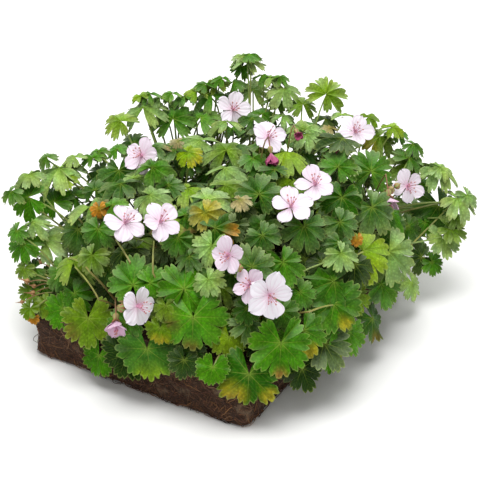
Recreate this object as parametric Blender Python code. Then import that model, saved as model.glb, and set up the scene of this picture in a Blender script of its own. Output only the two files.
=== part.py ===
"""A hardy geranium lifted out with its mat of soil: leafy shoots, flower stems and flowers.

Metres, +Z up. The mat lies flat on z = 0 with its front side facing -Y. Leaves and flowers are placed by
what a photograph of the plant shows: each names the pixels it covers there, and a line of sight through
them meets the rounded outside of the foliage.
"""

import itertools
import math
import random
from collections import namedtuple

import bpy
import numpy as np
from mathutils import Matrix, Vector
from mathutils.bvhtree import BVHTree

MM = 0.001

# The mat of soil
MAT_WIDTH = 0.200
MAT_DEPTH = 0.250
MAT_HEIGHT = 0.045
MAT_CORNER_RADIUS = 0.009
MAT_ROUGHNESS = 0.0016
MAT_SIDE_POINTS = 14
MAT_CORNER_STEPS = 4
MAT_SEED = 11
# The heights at which the mat's outline is drawn, each with how far it is drawn in there
MAT_LEVELS = ((0, 0.003), (0.004, 0), (0.024, 0), (0.041, 0), (MAT_HEIGHT, 0.004))
SEAT_GAP = 0.0003

# The rounded outside of the foliage, a superellipsoid
DOME_CENTRE = Vector((0.010, 0.015, 0.040))
DOME_HALF = Vector((0.132, 0.150, 0.108))
DOME_POWER = 2.6

# Crowns, the short stocks that the leaves grow from
CROWN_COLUMNS = 4
CROWN_ROWS = 6
CROWN_SPACING_X = 0.050
CROWN_SPACING_Y = 0.041
CROWN_RADIUS = 0.0052
CROWN_TOP_RADIUS = 0.0048
CROWN_HEIGHT = 0.009
CROWN_SIDES = 6
CROWN_SEED = 5
# The feet of a crown's petioles stand in a ring, one leaf to each
FEET = 8
FEET_RING_RADIUS = 0.0032
CROWN_SCATTER = 0.004
# A leaf or flower grows from the soil under this share of its own distance from the middle
LEAF_PULLED_IN = 0.86
STEM_PULLED_IN = 0.80

# Leaves
BLADE_THICKNESS = 0.0010
PETIOLE_RADIUS = 0.0009
PETIOLE_TIP_RADIUS = 0.0003
PETIOLE_STEPS = 3
PETIOLE_SIDES = 3
# A petiole's bend lies this share of its rise up, less the share of its run
PETIOLE_RISE = 1.1
LEAF_CLEARANCE = 0.0005
FLOOR_CLEARANCE = 0.0015
# Each lobe on one half of a leaf: its direction and half its width in degrees, and its share of the reach
LOBES = ((0, 14, 1.00), (57, 15, 0.96), (122, 22, 0.85))
# Each notch between lobes: its direction in degrees and its share of the reach
NOTCHES = ((29, 0.70), (86, 0.66))
BASE_NOTCH = 0.05
NOTCH_KEPT_CLEAR = 0.85
# How far a lobe end hangs below its hub, as a share of its reach: least and most
DROOP = (0.05, 0.32)
DROOP_SEED = 23
# How far a leaf's face turns straight out of the foliage, next to its turn to the camera
TURNED_OUT = 0.35
PETIOLE_JOINS_AT = 0.0024
PETIOLE_NECK = 0.004
PETIOLE_TAPER = 0.7

# Leaves on the parts of the foliage that the photograph doesn't show
FILL_TRIES = 520
FILL_SPACING = 0.025
FILL_REACH = (17, 24)
FILL_LOWEST_HUB = 0.028
# How far down from the dome's top they go, where 1 is its middle
FILL_DOWN_TO = 1.25
FILL_DEPTH = (0.90, 1.0)
# How far such a leaf's face turns up, and its middle lobe down, next to straight out of the foliage
FILL_TURNED_UP = 0.7
FILL_HANGS = 0.5
FILL_TILT = 0.25
FILL_AIM = 0.6
FILL_SEED = 37
GOLDEN_ANGLE = math.pi * (3 - math.sqrt(5))

# Flower stems and flowers
STEM_RADIUS = 0.0010
PEDICEL_RADIUS = 0.0008
STEM_STEPS = 3
PEDICEL_STEPS = 2
STEM_SIDES = 4
PEDICEL_SIDES = 3
# How high up to its fork a stem bends
STEM_BEND = 0.6
CALYX_LENGTH = 0.007
CALYX_RADIUS = 0.0026
# Places along the calyx and the stamens, from the middle of the flower, and the radii there, as shares
CALYX_SHAPE = ((-1, 0.45), (-0.5, 1.0), (0.08, 0.8))
CALYX_SIDES = 5
PETALS = 5
PETAL_THICKNESS = 0.0012
# A petal's two outer corners and the notch beside it: degrees from its middle, and share of its length
PETAL_CORNERS = ((-22, 0.98), (22, 0.98), (36, 0.42))
STAMEN_LENGTH = 0.011
STAMEN_RADIUS = 0.0011
STAMEN_SHAPE = ((-0.05, 0.7), (1, 1.1))
STAMEN_SIDES = 3
# A bud from its base to its tip: places along it and their radii, as shares of half its width
BUD_SHAPE = ((-0.75, 0.30), (-0.25, 1.0), (0.35, 0.9), (0.85, 0.25))
BUD_SIDES = 5
NOD = 0.014
PEDICEL_LIFT = 0.006
# The most that a flower looks away from the camera, as a sine
MOST_SIDEWAYS = 0.97
FORK_DROP = 0.30
FORK_HEIGHT = 0.012

# The photograph: 480 pixels square, seen by a pinhole camera that stands above and to the right
PHOTO_MIDDLE = 240
PHOTO_FOCUS = 1474
PHOTO_AZIMUTH = math.radians(30.5)
PHOTO_PITCH = math.radians(31.6)
# The pixel of the mat's nearest bottom corner, and how far that corner lies along the view
MAT_CORNER_PIXEL = (246, 431)
MAT_CORNER_DISTANCE = 1.114
# Where a line of sight is tried for meeting the foliage
NEAREST_SIGHT = 0.95
SIGHT_STEP = 0.0015
SIGHT_STEPS = 340

SOIL_COLOUR = (0.030, 0.019, 0.013, 1)
LEAF_COLOUR = (0.075, 0.230, 0.030, 1)
STEM_COLOUR = (0.250, 0.330, 0.090, 1)
PETAL_COLOUR = (0.860, 0.720, 0.800, 1)
SOIL_ROUGHNESS = 0.95
LEAF_ROUGHNESS = 0.55
STEM_ROUGHNESS = 0.5
PETAL_ROUGHNESS = 0.6

# A leaf in the photograph: the pixel of its hub, where the petiole meets the blade, a pixel that its middle
# lobe points at, its reach from hub to lobe end in mm, how far it turns from level (0) to facing the camera
# (1), and how much deeper than the outside of the foliage it lies, in mm.
Leaf = namedtuple("Leaf", "hub aim reach face deep", defaults=(0,))

LEAVES_OVER_THE_FRONT = (
    Leaf(hub=(249, 374), aim=(247, 409), reach=28, face=1.0, deep=-6),
    Leaf(hub=(147, 349), aim=(150, 385), reach=27, face=1.0, deep=-4),
    Leaf(hub=(193, 317), aim=(190, 358), reach=30, face=1.0, deep=-4),
    Leaf(hub=(281, 343), aim=(280, 382), reach=28, face=0.9, deep=-4),
    Leaf(hub=(88, 318), aim=(86, 350), reach=25, face=0.9, deep=-4),
    Leaf(hub=(128, 354), aim=(106, 362), reach=23, face=0.9, deep=3),
    Leaf(hub=(62, 316), aim=(45, 320), reach=17, face=0.9),
    Leaf(hub=(61, 330), aim=(56, 347), reach=16, face=0.8),
    Leaf(hub=(213, 367), aim=(208, 388), reach=16, face=0.9),
    Leaf(hub=(184, 360), aim=(180, 380), reach=15, face=0.8),
    Leaf(hub=(160, 328), aim=(158, 343), reach=14, face=0.8),
    Leaf(hub=(304, 330), aim=(313, 357), reach=22, face=0.8),
    Leaf(hub=(324, 343), aim=(357, 353), reach=25, face=0.5),
    Leaf(hub=(334, 304), aim=(352, 330), reach=26, face=0.9),
    Leaf(hub=(246, 300), aim=(244, 330), reach=26, face=0.9, deep=4),
    Leaf(hub=(229, 337), aim=(228, 358), reach=17, face=0.8, deep=5),
    Leaf(hub=(258, 340), aim=(252, 356), reach=18, face=0.8, deep=10),
)

LEAVES_IN_FRONT = (
    Leaf(hub=(133, 285), aim=(135, 258), reach=24, face=0.9),
    Leaf(hub=(184, 289), aim=(187, 257), reach=26, face=0.8),
    Leaf(hub=(150, 283), aim=(167, 284), reach=16, face=0.8),
    Leaf(hub=(112, 287), aim=(103, 308), reach=21, face=0.8, deep=8),
    Leaf(hub=(62, 272), aim=(57, 296), reach=20, face=0.7),
    Leaf(hub=(73, 263), aim=(73, 245), reach=22, face=0.1),
    Leaf(hub=(92, 255), aim=(83, 272), reach=16, face=0.6),
    Leaf(hub=(334, 281), aim=(303, 288), reach=25, face=0.6),
    Leaf(hub=(283, 262), aim=(292, 284), reach=19, face=0.8),
    Leaf(hub=(282, 312), aim=(298, 318), reach=16, face=0.8),
    Leaf(hub=(355, 264), aim=(357, 292), reach=22, face=0.7, deep=4),
    Leaf(hub=(208, 279), aim=(216, 292), reach=14, face=0.8),
    Leaf(hub=(212, 245), aim=(205, 266), reach=18, face=0.8),
    Leaf(hub=(252, 267), aim=(262, 242), reach=22, face=0.8),
    Leaf(hub=(305, 258), aim=(295, 268), reach=24, face=0.8, deep=12),
    Leaf(hub=(45, 305), aim=(33, 310), reach=15, face=0.7),
    Leaf(hub=(46, 277), aim=(39, 271), reach=11, face=0.7),
)

LEAVES_ON_THE_RIGHT = (
    Leaf(hub=(363, 251), aim=(386, 263), reach=27, face=0.6),
    Leaf(hub=(389, 252), aim=(398, 292), reach=30, face=0.8, deep=-3),
    Leaf(hub=(422, 257), aim=(407, 263), reach=17, face=0.8),
    Leaf(hub=(443, 238), aim=(449, 263), reach=19, face=0.7),
    Leaf(hub=(450, 229), aim=(467, 237), reach=18, face=0.4),
    Leaf(hub=(457, 198), aim=(477, 206), reach=21, face=0.2, deep=-4),
    Leaf(hub=(439, 205), aim=(446, 232), reach=26, face=0.9),
    Leaf(hub=(437, 168), aim=(457, 175), reach=22, face=0.1),
    Leaf(hub=(371, 171), aim=(374, 148), reach=25, face=0.8),
    Leaf(hub=(372, 207), aim=(387, 228), reach=23, face=0.7),
    Leaf(hub=(342, 197), aim=(338, 218), reach=20, face=0.8),
    Leaf(hub=(340, 222), aim=(352, 236), reach=18, face=0.8),
    Leaf(hub=(304, 226), aim=(314, 246), reach=21, face=0.8),
    Leaf(hub=(412, 204), aim=(427, 228), reach=21, face=0.6),
    Leaf(hub=(421, 183), aim=(427, 199), reach=15, face=0.7),
    Leaf(hub=(411, 163), aim=(392, 145), reach=24, face=0.4),
    Leaf(hub=(409, 158), aim=(421, 148), reach=17, face=0.5),
    Leaf(hub=(408, 226), aim=(416, 240), reach=17, face=0.8, deep=10),
    Leaf(hub=(340, 243), aim=(336, 258), reach=16, face=0.6),
    Leaf(hub=(341, 253), aim=(352, 267), reach=16, face=0.5),
    Leaf(hub=(338, 167), aim=(345, 149), reach=19, face=0.7),
)

LEAVES_ON_THE_LEFT = (
    Leaf(hub=(29, 197), aim=(6, 197), reach=21, face=0.9),
    Leaf(hub=(44, 240), aim=(63, 218), reach=26, face=0.3),
    Leaf(hub=(22, 243), aim=(24, 264), reach=18, face=0.8),
    Leaf(hub=(32, 222), aim=(45, 211), reach=16, face=0.4),
    Leaf(hub=(54, 202), aim=(46, 188), reach=19, face=0.8, deep=6),
    Leaf(hub=(59, 168), aim=(28, 175), reach=25, face=0.1),
    Leaf(hub=(66, 167), aim=(80, 157), reach=16, face=0.1),
    Leaf(hub=(62, 178), aim=(71, 187), reach=13, face=0.5),
    Leaf(hub=(78, 229), aim=(73, 247), reach=21, face=0.9),
    Leaf(hub=(98, 229), aim=(94, 249), reach=17, face=0.9),
    Leaf(hub=(89, 207), aim=(113, 182), reach=26, face=0.2),
    Leaf(hub=(103, 172), aim=(92, 185), reach=19, face=0.7),
    Leaf(hub=(119, 170), aim=(121, 192), reach=22, face=0.8),
    Leaf(hub=(93, 158), aim=(88, 148), reach=12, face=0.4),
    Leaf(hub=(117, 149), aim=(113, 140), reach=11, face=0.6),
)

LEAVES_ON_THE_TOP = (
    Leaf(hub=(206, 200), aim=(227, 201), reach=21, face=0.5, deep=-2),
    Leaf(hub=(259, 194), aim=(264, 170), reach=22, face=0.8),
    Leaf(hub=(225, 185), aim=(246, 184), reach=20, face=0.3),
    Leaf(hub=(224, 168), aim=(240, 163), reach=21, face=0.1),
    Leaf(hub=(188, 152), aim=(202, 158), reach=14, face=0.6),
    Leaf(hub=(226, 150), aim=(225, 129), reach=23, face=0.5),
    Leaf(hub=(200, 140), aim=(182, 138), reach=21, face=0.2),
    Leaf(hub=(200, 118), aim=(206, 102), reach=21, face=0.6),
    Leaf(hub=(212, 95), aim=(203, 81), reach=21, face=0.5),
    Leaf(hub=(247, 60), aim=(254, 50), reach=19, face=0.1, deep=0),
    Leaf(hub=(253, 90), aim=(255, 73), reach=19, face=0.6),
    Leaf(hub=(272, 77), aim=(286, 75), reach=15, face=0.1),
    Leaf(hub=(284, 88), aim=(290, 104), reach=19, face=0.6),
    Leaf(hub=(326, 94), aim=(337, 80), reach=21, face=0.9),
    Leaf(hub=(303, 104), aim=(301, 87), reach=16, face=0.7),
    Leaf(hub=(305, 129), aim=(313, 111), reach=20, face=0.6),
    Leaf(hub=(307, 134), aim=(326, 142), reach=17, face=0.3),
    Leaf(hub=(173, 119), aim=(175, 94), reach=24, face=0.8),
    Leaf(hub=(143, 108), aim=(148, 90), reach=23, face=0.5),
    Leaf(hub=(121, 121), aim=(110, 117), reach=18, face=0.6),
    Leaf(hub=(134, 143), aim=(126, 134), reach=17, face=0.7),
    Leaf(hub=(152, 167), aim=(168, 158), reach=19, face=0.5),
    Leaf(hub=(150, 195), aim=(172, 198), reach=19, face=0.3),
    Leaf(hub=(380, 136), aim=(367, 141), reach=20, face=0.5),
    Leaf(hub=(178, 238), aim=(172, 252), reach=16, face=0.8),
    Leaf(hub=(215, 228), aim=(240, 228), reach=20, face=0.7, deep=5),
)

# A flower in the photograph: the pixel where its petals meet, the pixel that its stamens point at, its
# width in mm, how far its petals open from its axis in degrees, its stem, and how much deeper it lies in mm.
Flower = namedtuple("Flower", "centre stamens width spread stem deep", defaults=(0,))

FLOWERS = (
    Flower(centre=(269, 295), stamens=(276, 306), width=32, spread=80, stem=1),
    Flower(centre=(251, 285), stamens=(246, 284), width=27, spread=72, stem=1, deep=7),
    Flower(centre=(137, 306), stamens=(142, 308), width=31, spread=76, stem=2),
    Flower(centre=(116, 321), stamens=(117, 333), width=25, spread=28, stem=2, deep=3),
    Flower(centre=(229, 255), stamens=(223, 257), width=28, spread=68, stem=3),
    Flower(centre=(125, 223), stamens=(132, 214), width=31, spread=80, stem=4),
    Flower(centre=(160, 222), stamens=(167, 215), width=30, spread=80, stem=4),
    Flower(centre=(291, 207), stamens=(291, 196), width=31, spread=80, stem=5),
    Flower(centre=(315, 185), stamens=(315, 175), width=30, spread=80, stem=5),
    Flower(centre=(407, 186), stamens=(412, 188), width=30, spread=76, stem=6),
    Flower(centre=(389, 197), stamens=(390, 209), width=25, spread=28, stem=6),
    Flower(centre=(141, 156), stamens=(131, 158), width=29, spread=68, stem=7),
    Flower(centre=(233, 110), stamens=(236, 108), width=28, spread=82, stem=8),
    Flower(centre=(268, 138), stamens=(272, 133), width=29, spread=78, stem=9),
    Flower(centre=(355, 132), stamens=(355, 135), width=31, spread=80, stem=10),
)

# A bud: its middle pixel, its width in mm and its stem
Bud = namedtuple("Bud", "centre width stem")

BUDS = (
    Bud(centre=(121, 308), width=7.0, stem=2),
    Bud(centre=(128, 303), width=6.0, stem=2),
    Bud(centre=(391, 190), width=7.0, stem=6),
    Bud(centre=(397, 186), width=6.0, stem=6),
    Bud(centre=(239, 268), width=6.5, stem=3),
    Bud(centre=(341, 146), width=6.0, stem=10),
    Bud(centre=(272, 155), width=6.5, stem=9),
)

FLOWER_STANDS_OUT = -0.013
BUD_STANDS_OUT = -0.012


def clear_scene():
    for thing in list(bpy.data.objects):
        bpy.data.objects.remove(thing, do_unlink=True)


def material(name, colour, roughness):
    made = bpy.data.materials.new(name)
    made.use_nodes = True
    shader = made.node_tree.nodes["Principled BSDF"]
    shader.inputs["Base Color"].default_value = colour
    shader.inputs["Roughness"].default_value = roughness
    shader.inputs["Metallic"].default_value = 0
    return made


def view_axes():
    """The photograph's right, up and forward directions."""
    right = Vector((math.cos(PHOTO_AZIMUTH), math.sin(PHOTO_AZIMUTH), 0))
    level = Vector((-math.sin(PHOTO_AZIMUTH), math.cos(PHOTO_AZIMUTH), 0))
    forward = level * math.cos(PHOTO_PITCH) - Vector((0, 0, math.sin(PHOTO_PITCH)))
    return right, right.cross(forward), forward


VIEW_RIGHT, VIEW_UP, VIEW_FORWARD = view_axes()


def sight(pixel):
    """The line of sight through a pixel, one unit long along the view."""
    across = (pixel[0] - PHOTO_MIDDLE) / PHOTO_FOCUS
    rise = (PHOTO_MIDDLE - pixel[1]) / PHOTO_FOCUS
    return VIEW_FORWARD + VIEW_RIGHT * across + VIEW_UP * rise


EYE = Vector((MAT_WIDTH / 2, -MAT_DEPTH / 2, 0)) - sight(MAT_CORNER_PIXEL) * MAT_CORNER_DISTANCE


def dome_level(point):
    """1 on the outside of the foliage and less within it."""
    offset = point - DOME_CENTRE
    return sum((abs(offset[i]) / DOME_HALF[i]) ** DOME_POWER for i in range(3))


def outward(point):
    """The direction straight out of the foliage at a point."""
    offset = point - DOME_CENTRE
    slope = [
        math.copysign((abs(offset[i]) / DOME_HALF[i]) ** (DOME_POWER - 1) / DOME_HALF[i], offset[i])
        for i in range(3)
    ]
    return Vector(slope).normalized()


def on_dome(pixel, deeper=0.0):
    """Where the line of sight meets the outside of the foliage, or where it passes nearest to it."""
    line = sight(pixel)
    points = [EYE + line * (NEAREST_SIGHT + SIGHT_STEP * step) for step in range(SIGHT_STEPS)]
    first = next((point for point in points if dome_level(point) <= 1), None)
    meeting = first or min(points, key=dome_level)
    return meeting + line * deeper


def frame_at(origin, along, normal):
    """A matrix whose X runs along the leaf's middle lobe and whose Z stands out of its face."""
    z = normal.normalized()
    x = (along - z * along.dot(z)).normalized()
    y = z.cross(x)
    turned = Matrix((x, y, z)).transposed().to_4x4()
    return Matrix.Translation(origin) @ turned


def leaf_frame(hub, leaf):
    """The blade's plane faces partly up, partly at the camera and partly out of the foliage."""
    normal = Vector((0, 0, 1 - leaf.face)) - VIEW_FORWARD * leaf.face + outward(hub) * TURNED_OUT
    normal.normalize()
    line = sight(leaf.aim)
    meeting = EYE + line * ((hub - EYE).dot(normal) / line.dot(normal))
    return frame_at(hub, meeting - hub, normal)


def moved(solid, matrix):
    points, faces = solid
    return [matrix @ point for point in points], faces


def sharp_plate(rim, thickness):
    """A closed plate round the origin, thickest there and sharp at its rim."""
    count = len(rim)
    points = rim + [Vector((0, 0, thickness / 2)), Vector((0, 0, -thickness / 2))]
    faces = []
    for here in range(count):
        after = (here + 1) % count
        faces.append((count, here, after))
        faces.append((count + 1, after, here))
    return points, faces


def even_plate(rim, thickness):
    """A closed plate round the origin, of the same thickness everywhere."""
    half = Vector((0, 0, thickness / 2))
    count = len(rim)
    points = [point + half for point in rim] + [point - half for point in rim] + [half, -half]
    faces = []
    for here in range(count):
        after = (here + 1) % count
        faces.append((2 * count, here, after))
        faces.append((2 * count + 1, count + after, count + here))
        faces.append((here, count + here, count + after))
        faces.append((here, count + after, after))
    return points, faces


# A leaf blade in place: its frame, its reach from hub to lobe end, and how much it hangs at its rim
Blade = namedtuple("Blade", "frame reach droop")


def blade_rim(blade, least=0.0):
    """The lobes of a palmate leaf, anticlockwise from the notch at its base, none cut deeper than least."""
    corners = [(angle + side * half, length) for angle, half, length in LOBES for side in (-1, 1)]
    left = sorted([corner for corner in corners if corner[0] > 0] + list(NOTCHES))
    right = [(-angle, length) for angle, length in reversed(left)]
    rim = [Vector((-blade.reach * BASE_NOTCH, 0, 0))]
    for angle, length in right + left:
        along = blade.reach * max(length, least)
        turn = math.radians(angle)
        rim.append(Vector((along * math.cos(turn), along * math.sin(turn), -blade.droop * along)))
    return rim


def blade_solid(blade):
    return moved(sharp_plate(blade_rim(blade), BLADE_THICKNESS), blade.frame)


def kept_clear(blade):
    """A fuller and thicker blade, which nothing else may touch."""
    rim = blade_rim(blade, NOTCH_KEPT_CLEAR)
    return moved(even_plate(rim, BLADE_THICKNESS + 2 * LEAF_CLEARANCE), blade.frame)


def bezier(start, bend, end, share):
    return start * (1 - share) ** 2 + bend * (2 * share * (1 - share)) + end * share**2


def tube(path, radii, sides):
    """A closed tube along a path."""
    runs = [(after - before).normalized() for before, after in zip(path, path[1:])]
    across = runs[0].orthogonal()
    points = []
    for place, radius in enumerate(radii):
        tangent = (runs[max(place - 1, 0)] + runs[min(place, len(runs) - 1)]).normalized()
        across = (across - tangent * across.dot(tangent)).normalized()
        other = tangent.cross(across)
        for side in range(sides):
            turn = 2 * math.pi * side / sides
            points.append(path[place] + (across * math.cos(turn) + other * math.sin(turn)) * radius)
    faces = [tuple(reversed(range(sides)))]
    for ring in range(len(path) - 1):
        for side in range(sides):
            a = ring * sides + side
            b = ring * sides + (side + 1) % sides
            faces.append((a, b, b + sides))
            faces.append((a, b + sides, a + sides))
    last = (len(path) - 1) * sides
    faces.append(tuple(range(last, last + sides)))
    return points, faces


def curve(start, bend, end, steps):
    return [bezier(start, bend, end, step / steps) for step in range(steps + 1)]


class Placed:
    """The solids put in so far, each with its node's name, for keeping new ones clear of them."""

    def __init__(self):
        self.names = []
        self.trees = []
        self.lows = np.empty((0, 3))
        self.highs = np.empty((0, 3))

    def add(self, name, solid):
        points = np.array([tuple(point) for point in solid[0]])
        self.names.append(name)
        self.trees.append(BVHTree.FromPolygons(*solid))
        self.lows = np.vstack((self.lows, points.min(axis=0)))
        self.highs = np.vstack((self.highs, points.max(axis=0)))

    def touched_by(self, solid):
        """The names of the nodes that this solid would run into."""
        points = np.array([tuple(point) for point in solid[0]])
        near = (self.lows <= points.max(axis=0)).all(axis=1)
        near &= (self.highs >= points.min(axis=0)).all(axis=1)
        found = set()
        tree = BVHTree.FromPolygons(*solid) if near.any() else None
        for which in np.flatnonzero(near):
            if self.names[which] not in found and tree.overlap(self.trees[which]):
                found.add(self.names[which])
        return found


def mat_outline(inset, chance):
    """The mat's rounded rectangle, with its sides a little uneven."""
    half_x = MAT_WIDTH / 2 - inset
    half_y = MAT_DEPTH / 2 - inset
    radius = MAT_CORNER_RADIUS - inset
    points = []
    for quarter, (sign_x, sign_y) in enumerate(((1, 1), (-1, 1), (-1, -1), (1, -1))):
        middle = Vector((sign_x * (half_x - radius), sign_y * (half_y - radius)))
        for step in range(MAT_CORNER_STEPS + 1):
            angle = math.pi / 2 * (quarter + step / MAT_CORNER_STEPS)
            points.append(middle + Vector((math.cos(angle), math.sin(angle))) * radius)
    even = []
    for here, after in zip(points, points[1:] + points[:1]):
        pieces = max(1, round((after - here).length / (MAT_DEPTH / MAT_SIDE_POINTS)))
        even += [here.lerp(after, piece / pieces) for piece in range(pieces)]
    return [point * (1 - chance.uniform(0, MAT_ROUGHNESS) / point.length) for point in even]


def root_mat():
    """The slab: flat below and on top, with rough sides and a rounded bottom edge."""
    chance = random.Random(MAT_SEED)
    rings = [[(x, y, height) for x, y in mat_outline(inset, chance)] for height, inset in MAT_LEVELS]
    count = len(rings[0])
    points = [Vector(point) for ring in rings for point in ring]
    faces = [tuple(reversed(range(count)))]
    for level in range(len(MAT_LEVELS) - 1):
        for side in range(count):
            a = level * count + side
            b = level * count + (side + 1) % count
            faces.append((a, b, b + count))
            faces.append((a, b + count, a + count))
    last = (len(MAT_LEVELS) - 1) * count
    faces.append(tuple(range(last, last + count)))
    return points, faces


def crown_places():
    """Where the crowns stand: a loose grid over the mat."""
    chance = random.Random(CROWN_SEED)
    places = []
    for row in range(CROWN_ROWS):
        for column in range(CROWN_COLUMNS):
            x = (column - (CROWN_COLUMNS - 1) / 2) * CROWN_SPACING_X
            y = (row - (CROWN_ROWS - 1) / 2) * CROWN_SPACING_Y
            x += chance.uniform(-CROWN_SCATTER, CROWN_SCATTER)
            y += chance.uniform(-CROWN_SCATTER, CROWN_SCATTER)
            places.append(Vector((x, y, MAT_HEIGHT + SEAT_GAP)))
    return places


def stem_places():
    """Where flower stems may rise: between the crowns."""
    return [
        Vector((column * CROWN_SPACING_X, row * CROWN_SPACING_Y, MAT_HEIGHT + SEAT_GAP))
        for row in (-2, -1, 0, 1, 2)
        for column in (-1, 0, 1)
    ]


def shoot_name(which):
    return f"shoot_{which + 1:02d}"


def crown(place):
    top = place + Vector((0, 0, CROWN_HEIGHT))
    return tube([place, top], [CROWN_RADIUS, CROWN_TOP_RADIUS], CROWN_SIDES)


def foot_place(place, foot):
    turn = 2 * math.pi * foot / FEET
    ring = Vector((math.cos(turn), math.sin(turn), 0)) * FEET_RING_RADIUS
    return place + ring + Vector((0, 0, CROWN_HEIGHT / 2))


def behind(blade, distance):
    """A point behind the place where the petiole joins the blade."""
    middle = -blade.droop * PETIOLE_JOINS_AT
    return blade.frame @ Vector((PETIOLE_JOINS_AT, 0, middle - distance))


def petiole_path(start, blade, turn):
    """A way out of the crown and over to a point squarely behind the blade."""
    neck = behind(blade, PETIOLE_NECK)
    run = neck - start
    share, lift, sway = turn
    rise = max(run.z, 0) * (PETIOLE_RISE - share) + lift * MM
    bend = start + Vector((run.x, run.y, 0)) * share + Vector((0, 0, rise))
    bend += Vector((-run.y, run.x, 0)).normalized() * sway * MM
    return curve(start, bend, neck, PETIOLE_STEPS)


def petiole(path, blade):
    radii = [PETIOLE_RADIUS] * PETIOLE_STEPS + [PETIOLE_RADIUS * PETIOLE_TAPER, PETIOLE_TIP_RADIUS]
    return tube([*path, behind(blade, 0)], radii, PETIOLE_SIDES)


# How far a leaf may shrink, and shift along its line of sight in mm, to find room
LEAF_SIZES = (1, 0.84, 0.68)
DEPTH_SHIFTS = (0, -3, 3, -6, 6, 9, -9, 12, 15, -12, 19, 23, -16, 28, 34, 41)
# Where a petiole may bend to find its way: the share of its run, and how far it lifts and sways there
PETIOLE_BENDS = [
    (share, lift, sway)
    for share, lift in ((0.35, 10), (0.35, 22), (0.70, 4), (0.70, 14), (0.35, 36), (0.95, 6))
    for sway in (0, 8, -8, 17, -17, 28, -28)
]
NEAREST_CROWNS = 9


def find_petiole(blade, crowns, free_feet, placed):
    """The crown, foot and solid of a clear petiole, or else of one that touches only its own shoot's."""
    second_best = None
    hub = blade.frame.translation
    below = hub.xy * LEAF_PULLED_IN
    own_blade = BVHTree.FromPolygons(*kept_clear(blade))
    nearest = sorted(range(len(crowns)), key=lambda which: (crowns[which].xy - below).length)
    for which in nearest[:NEAREST_CROWNS]:
        if not free_feet[which]:
            continue
        starts = {foot: foot_place(crowns[which], foot) for foot in free_feet[which]}
        foot = min(starts, key=lambda foot: (starts[foot].xy - hub.xy).length)
        for turn in PETIOLE_BENDS:
            path = petiole_path(starts[foot], blade, turn)
            thick = tube(path, [PETIOLE_RADIUS + LEAF_CLEARANCE] * len(path), PETIOLE_SIDES)
            if BVHTree.FromPolygons(*thick).overlap(own_blade):
                continue
            touched = placed.touched_by(thick) - {shoot_name(which) + "_crown"}
            if not touched:
                return which, foot, petiole(path, blade)
            if touched == {shoot_name(which) + "_stalks"} and not second_best:
                second_best = which, foot, petiole(path, blade)
    return second_best


def lay_leaf(blade, line, placed, crowns, free_feet):
    """Tries sizes and depths until the leaf is clear. Gives its blade, crown, foot and petiole."""
    for size, shift in itertools.product(LEAF_SIZES, DEPTH_SHIFTS):
        frame = Matrix.Translation(line * shift * MM) @ blade.frame
        here = blade._replace(frame=frame, reach=blade.reach * size)
        thick = kept_clear(here)
        if min(point.z for point in thick[0]) < FLOOR_CLEARANCE:
            continue
        if placed.touched_by(thick):
            continue
        found = find_petiole(here, crowns, free_feet, placed)
        if found:
            return here, *found
    return None


def photo_leaves():
    """The leaves of the photograph, each as its blade and the line to shift it along."""
    chance = random.Random(DROOP_SEED)
    groups = (
        LEAVES_OVER_THE_FRONT,
        LEAVES_IN_FRONT,
        LEAVES_ON_THE_RIGHT,
        LEAVES_ON_THE_LEFT,
        LEAVES_ON_THE_TOP,
    )
    for leaf in [leaf for group in groups for leaf in group]:
        hub = on_dome(leaf.hub, leaf.deep * MM)
        yield Blade(leaf_frame(hub, leaf), leaf.reach * MM, chance.uniform(*DROOP)), sight(leaf.hub)


def fill_leaves(hubs):
    """Leaves over the rest of the dome, wherever no hub is near yet."""
    chance = random.Random(FILL_SEED)
    for number in range(FILL_TRIES):
        rise = 1 - FILL_DOWN_TO * (number + 0.5) / FILL_TRIES
        ring = math.sqrt(1 - rise * rise)
        turn = GOLDEN_ANGLE * number
        direction = Vector((ring * math.cos(turn), ring * math.sin(turn), rise))
        spot = Vector([direction[i] * DOME_HALF[i] for i in range(3)])
        level = sum(abs(direction[i]) ** DOME_POWER for i in range(3))
        hub = DOME_CENTRE + spot * level ** (-1 / DOME_POWER) * chance.uniform(*FILL_DEPTH)
        if hub.z < FILL_LOWEST_HUB or any((hub - other).length < FILL_SPACING for other in hubs):
            continue
        out = outward(hub)
        tilt = Vector([chance.uniform(-FILL_TILT, FILL_TILT) for _ in range(3)])
        aim = Vector([chance.uniform(-FILL_AIM, FILL_AIM) for _ in range(3)])
        normal = out + Vector((0, 0, FILL_TURNED_UP)) + tilt
        down = Vector((out.x, out.y, -FILL_HANGS)) + aim
        reach = chance.uniform(*FILL_REACH) * MM
        yield Blade(frame_at(hub, down, normal), reach, chance.uniform(*DROOP)), -out


def grow_leaves(placed, crowns):
    """Puts every leaf in, and gives each shoot's solids."""
    free_feet = [set(range(FEET)) for _ in crowns]
    solids = [[crown(place)] for place in crowns]
    hubs = []

    def grow(blade, line):
        found = lay_leaf(blade, line, placed, crowns, free_feet)
        if not found:
            return
        here, which, foot, stalk = found
        free_feet[which].remove(foot)
        hubs.append(here.frame.translation)
        solids[which] += [blade_solid(here), stalk]
        placed.add(shoot_name(which) + "_blades", kept_clear(here))
        placed.add(shoot_name(which) + "_stalks", stalk)

    for blade, line in photo_leaves():
        grow(blade, line)
    for blade, line in fill_leaves(hubs):
        grow(blade, line)
    return solids


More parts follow.
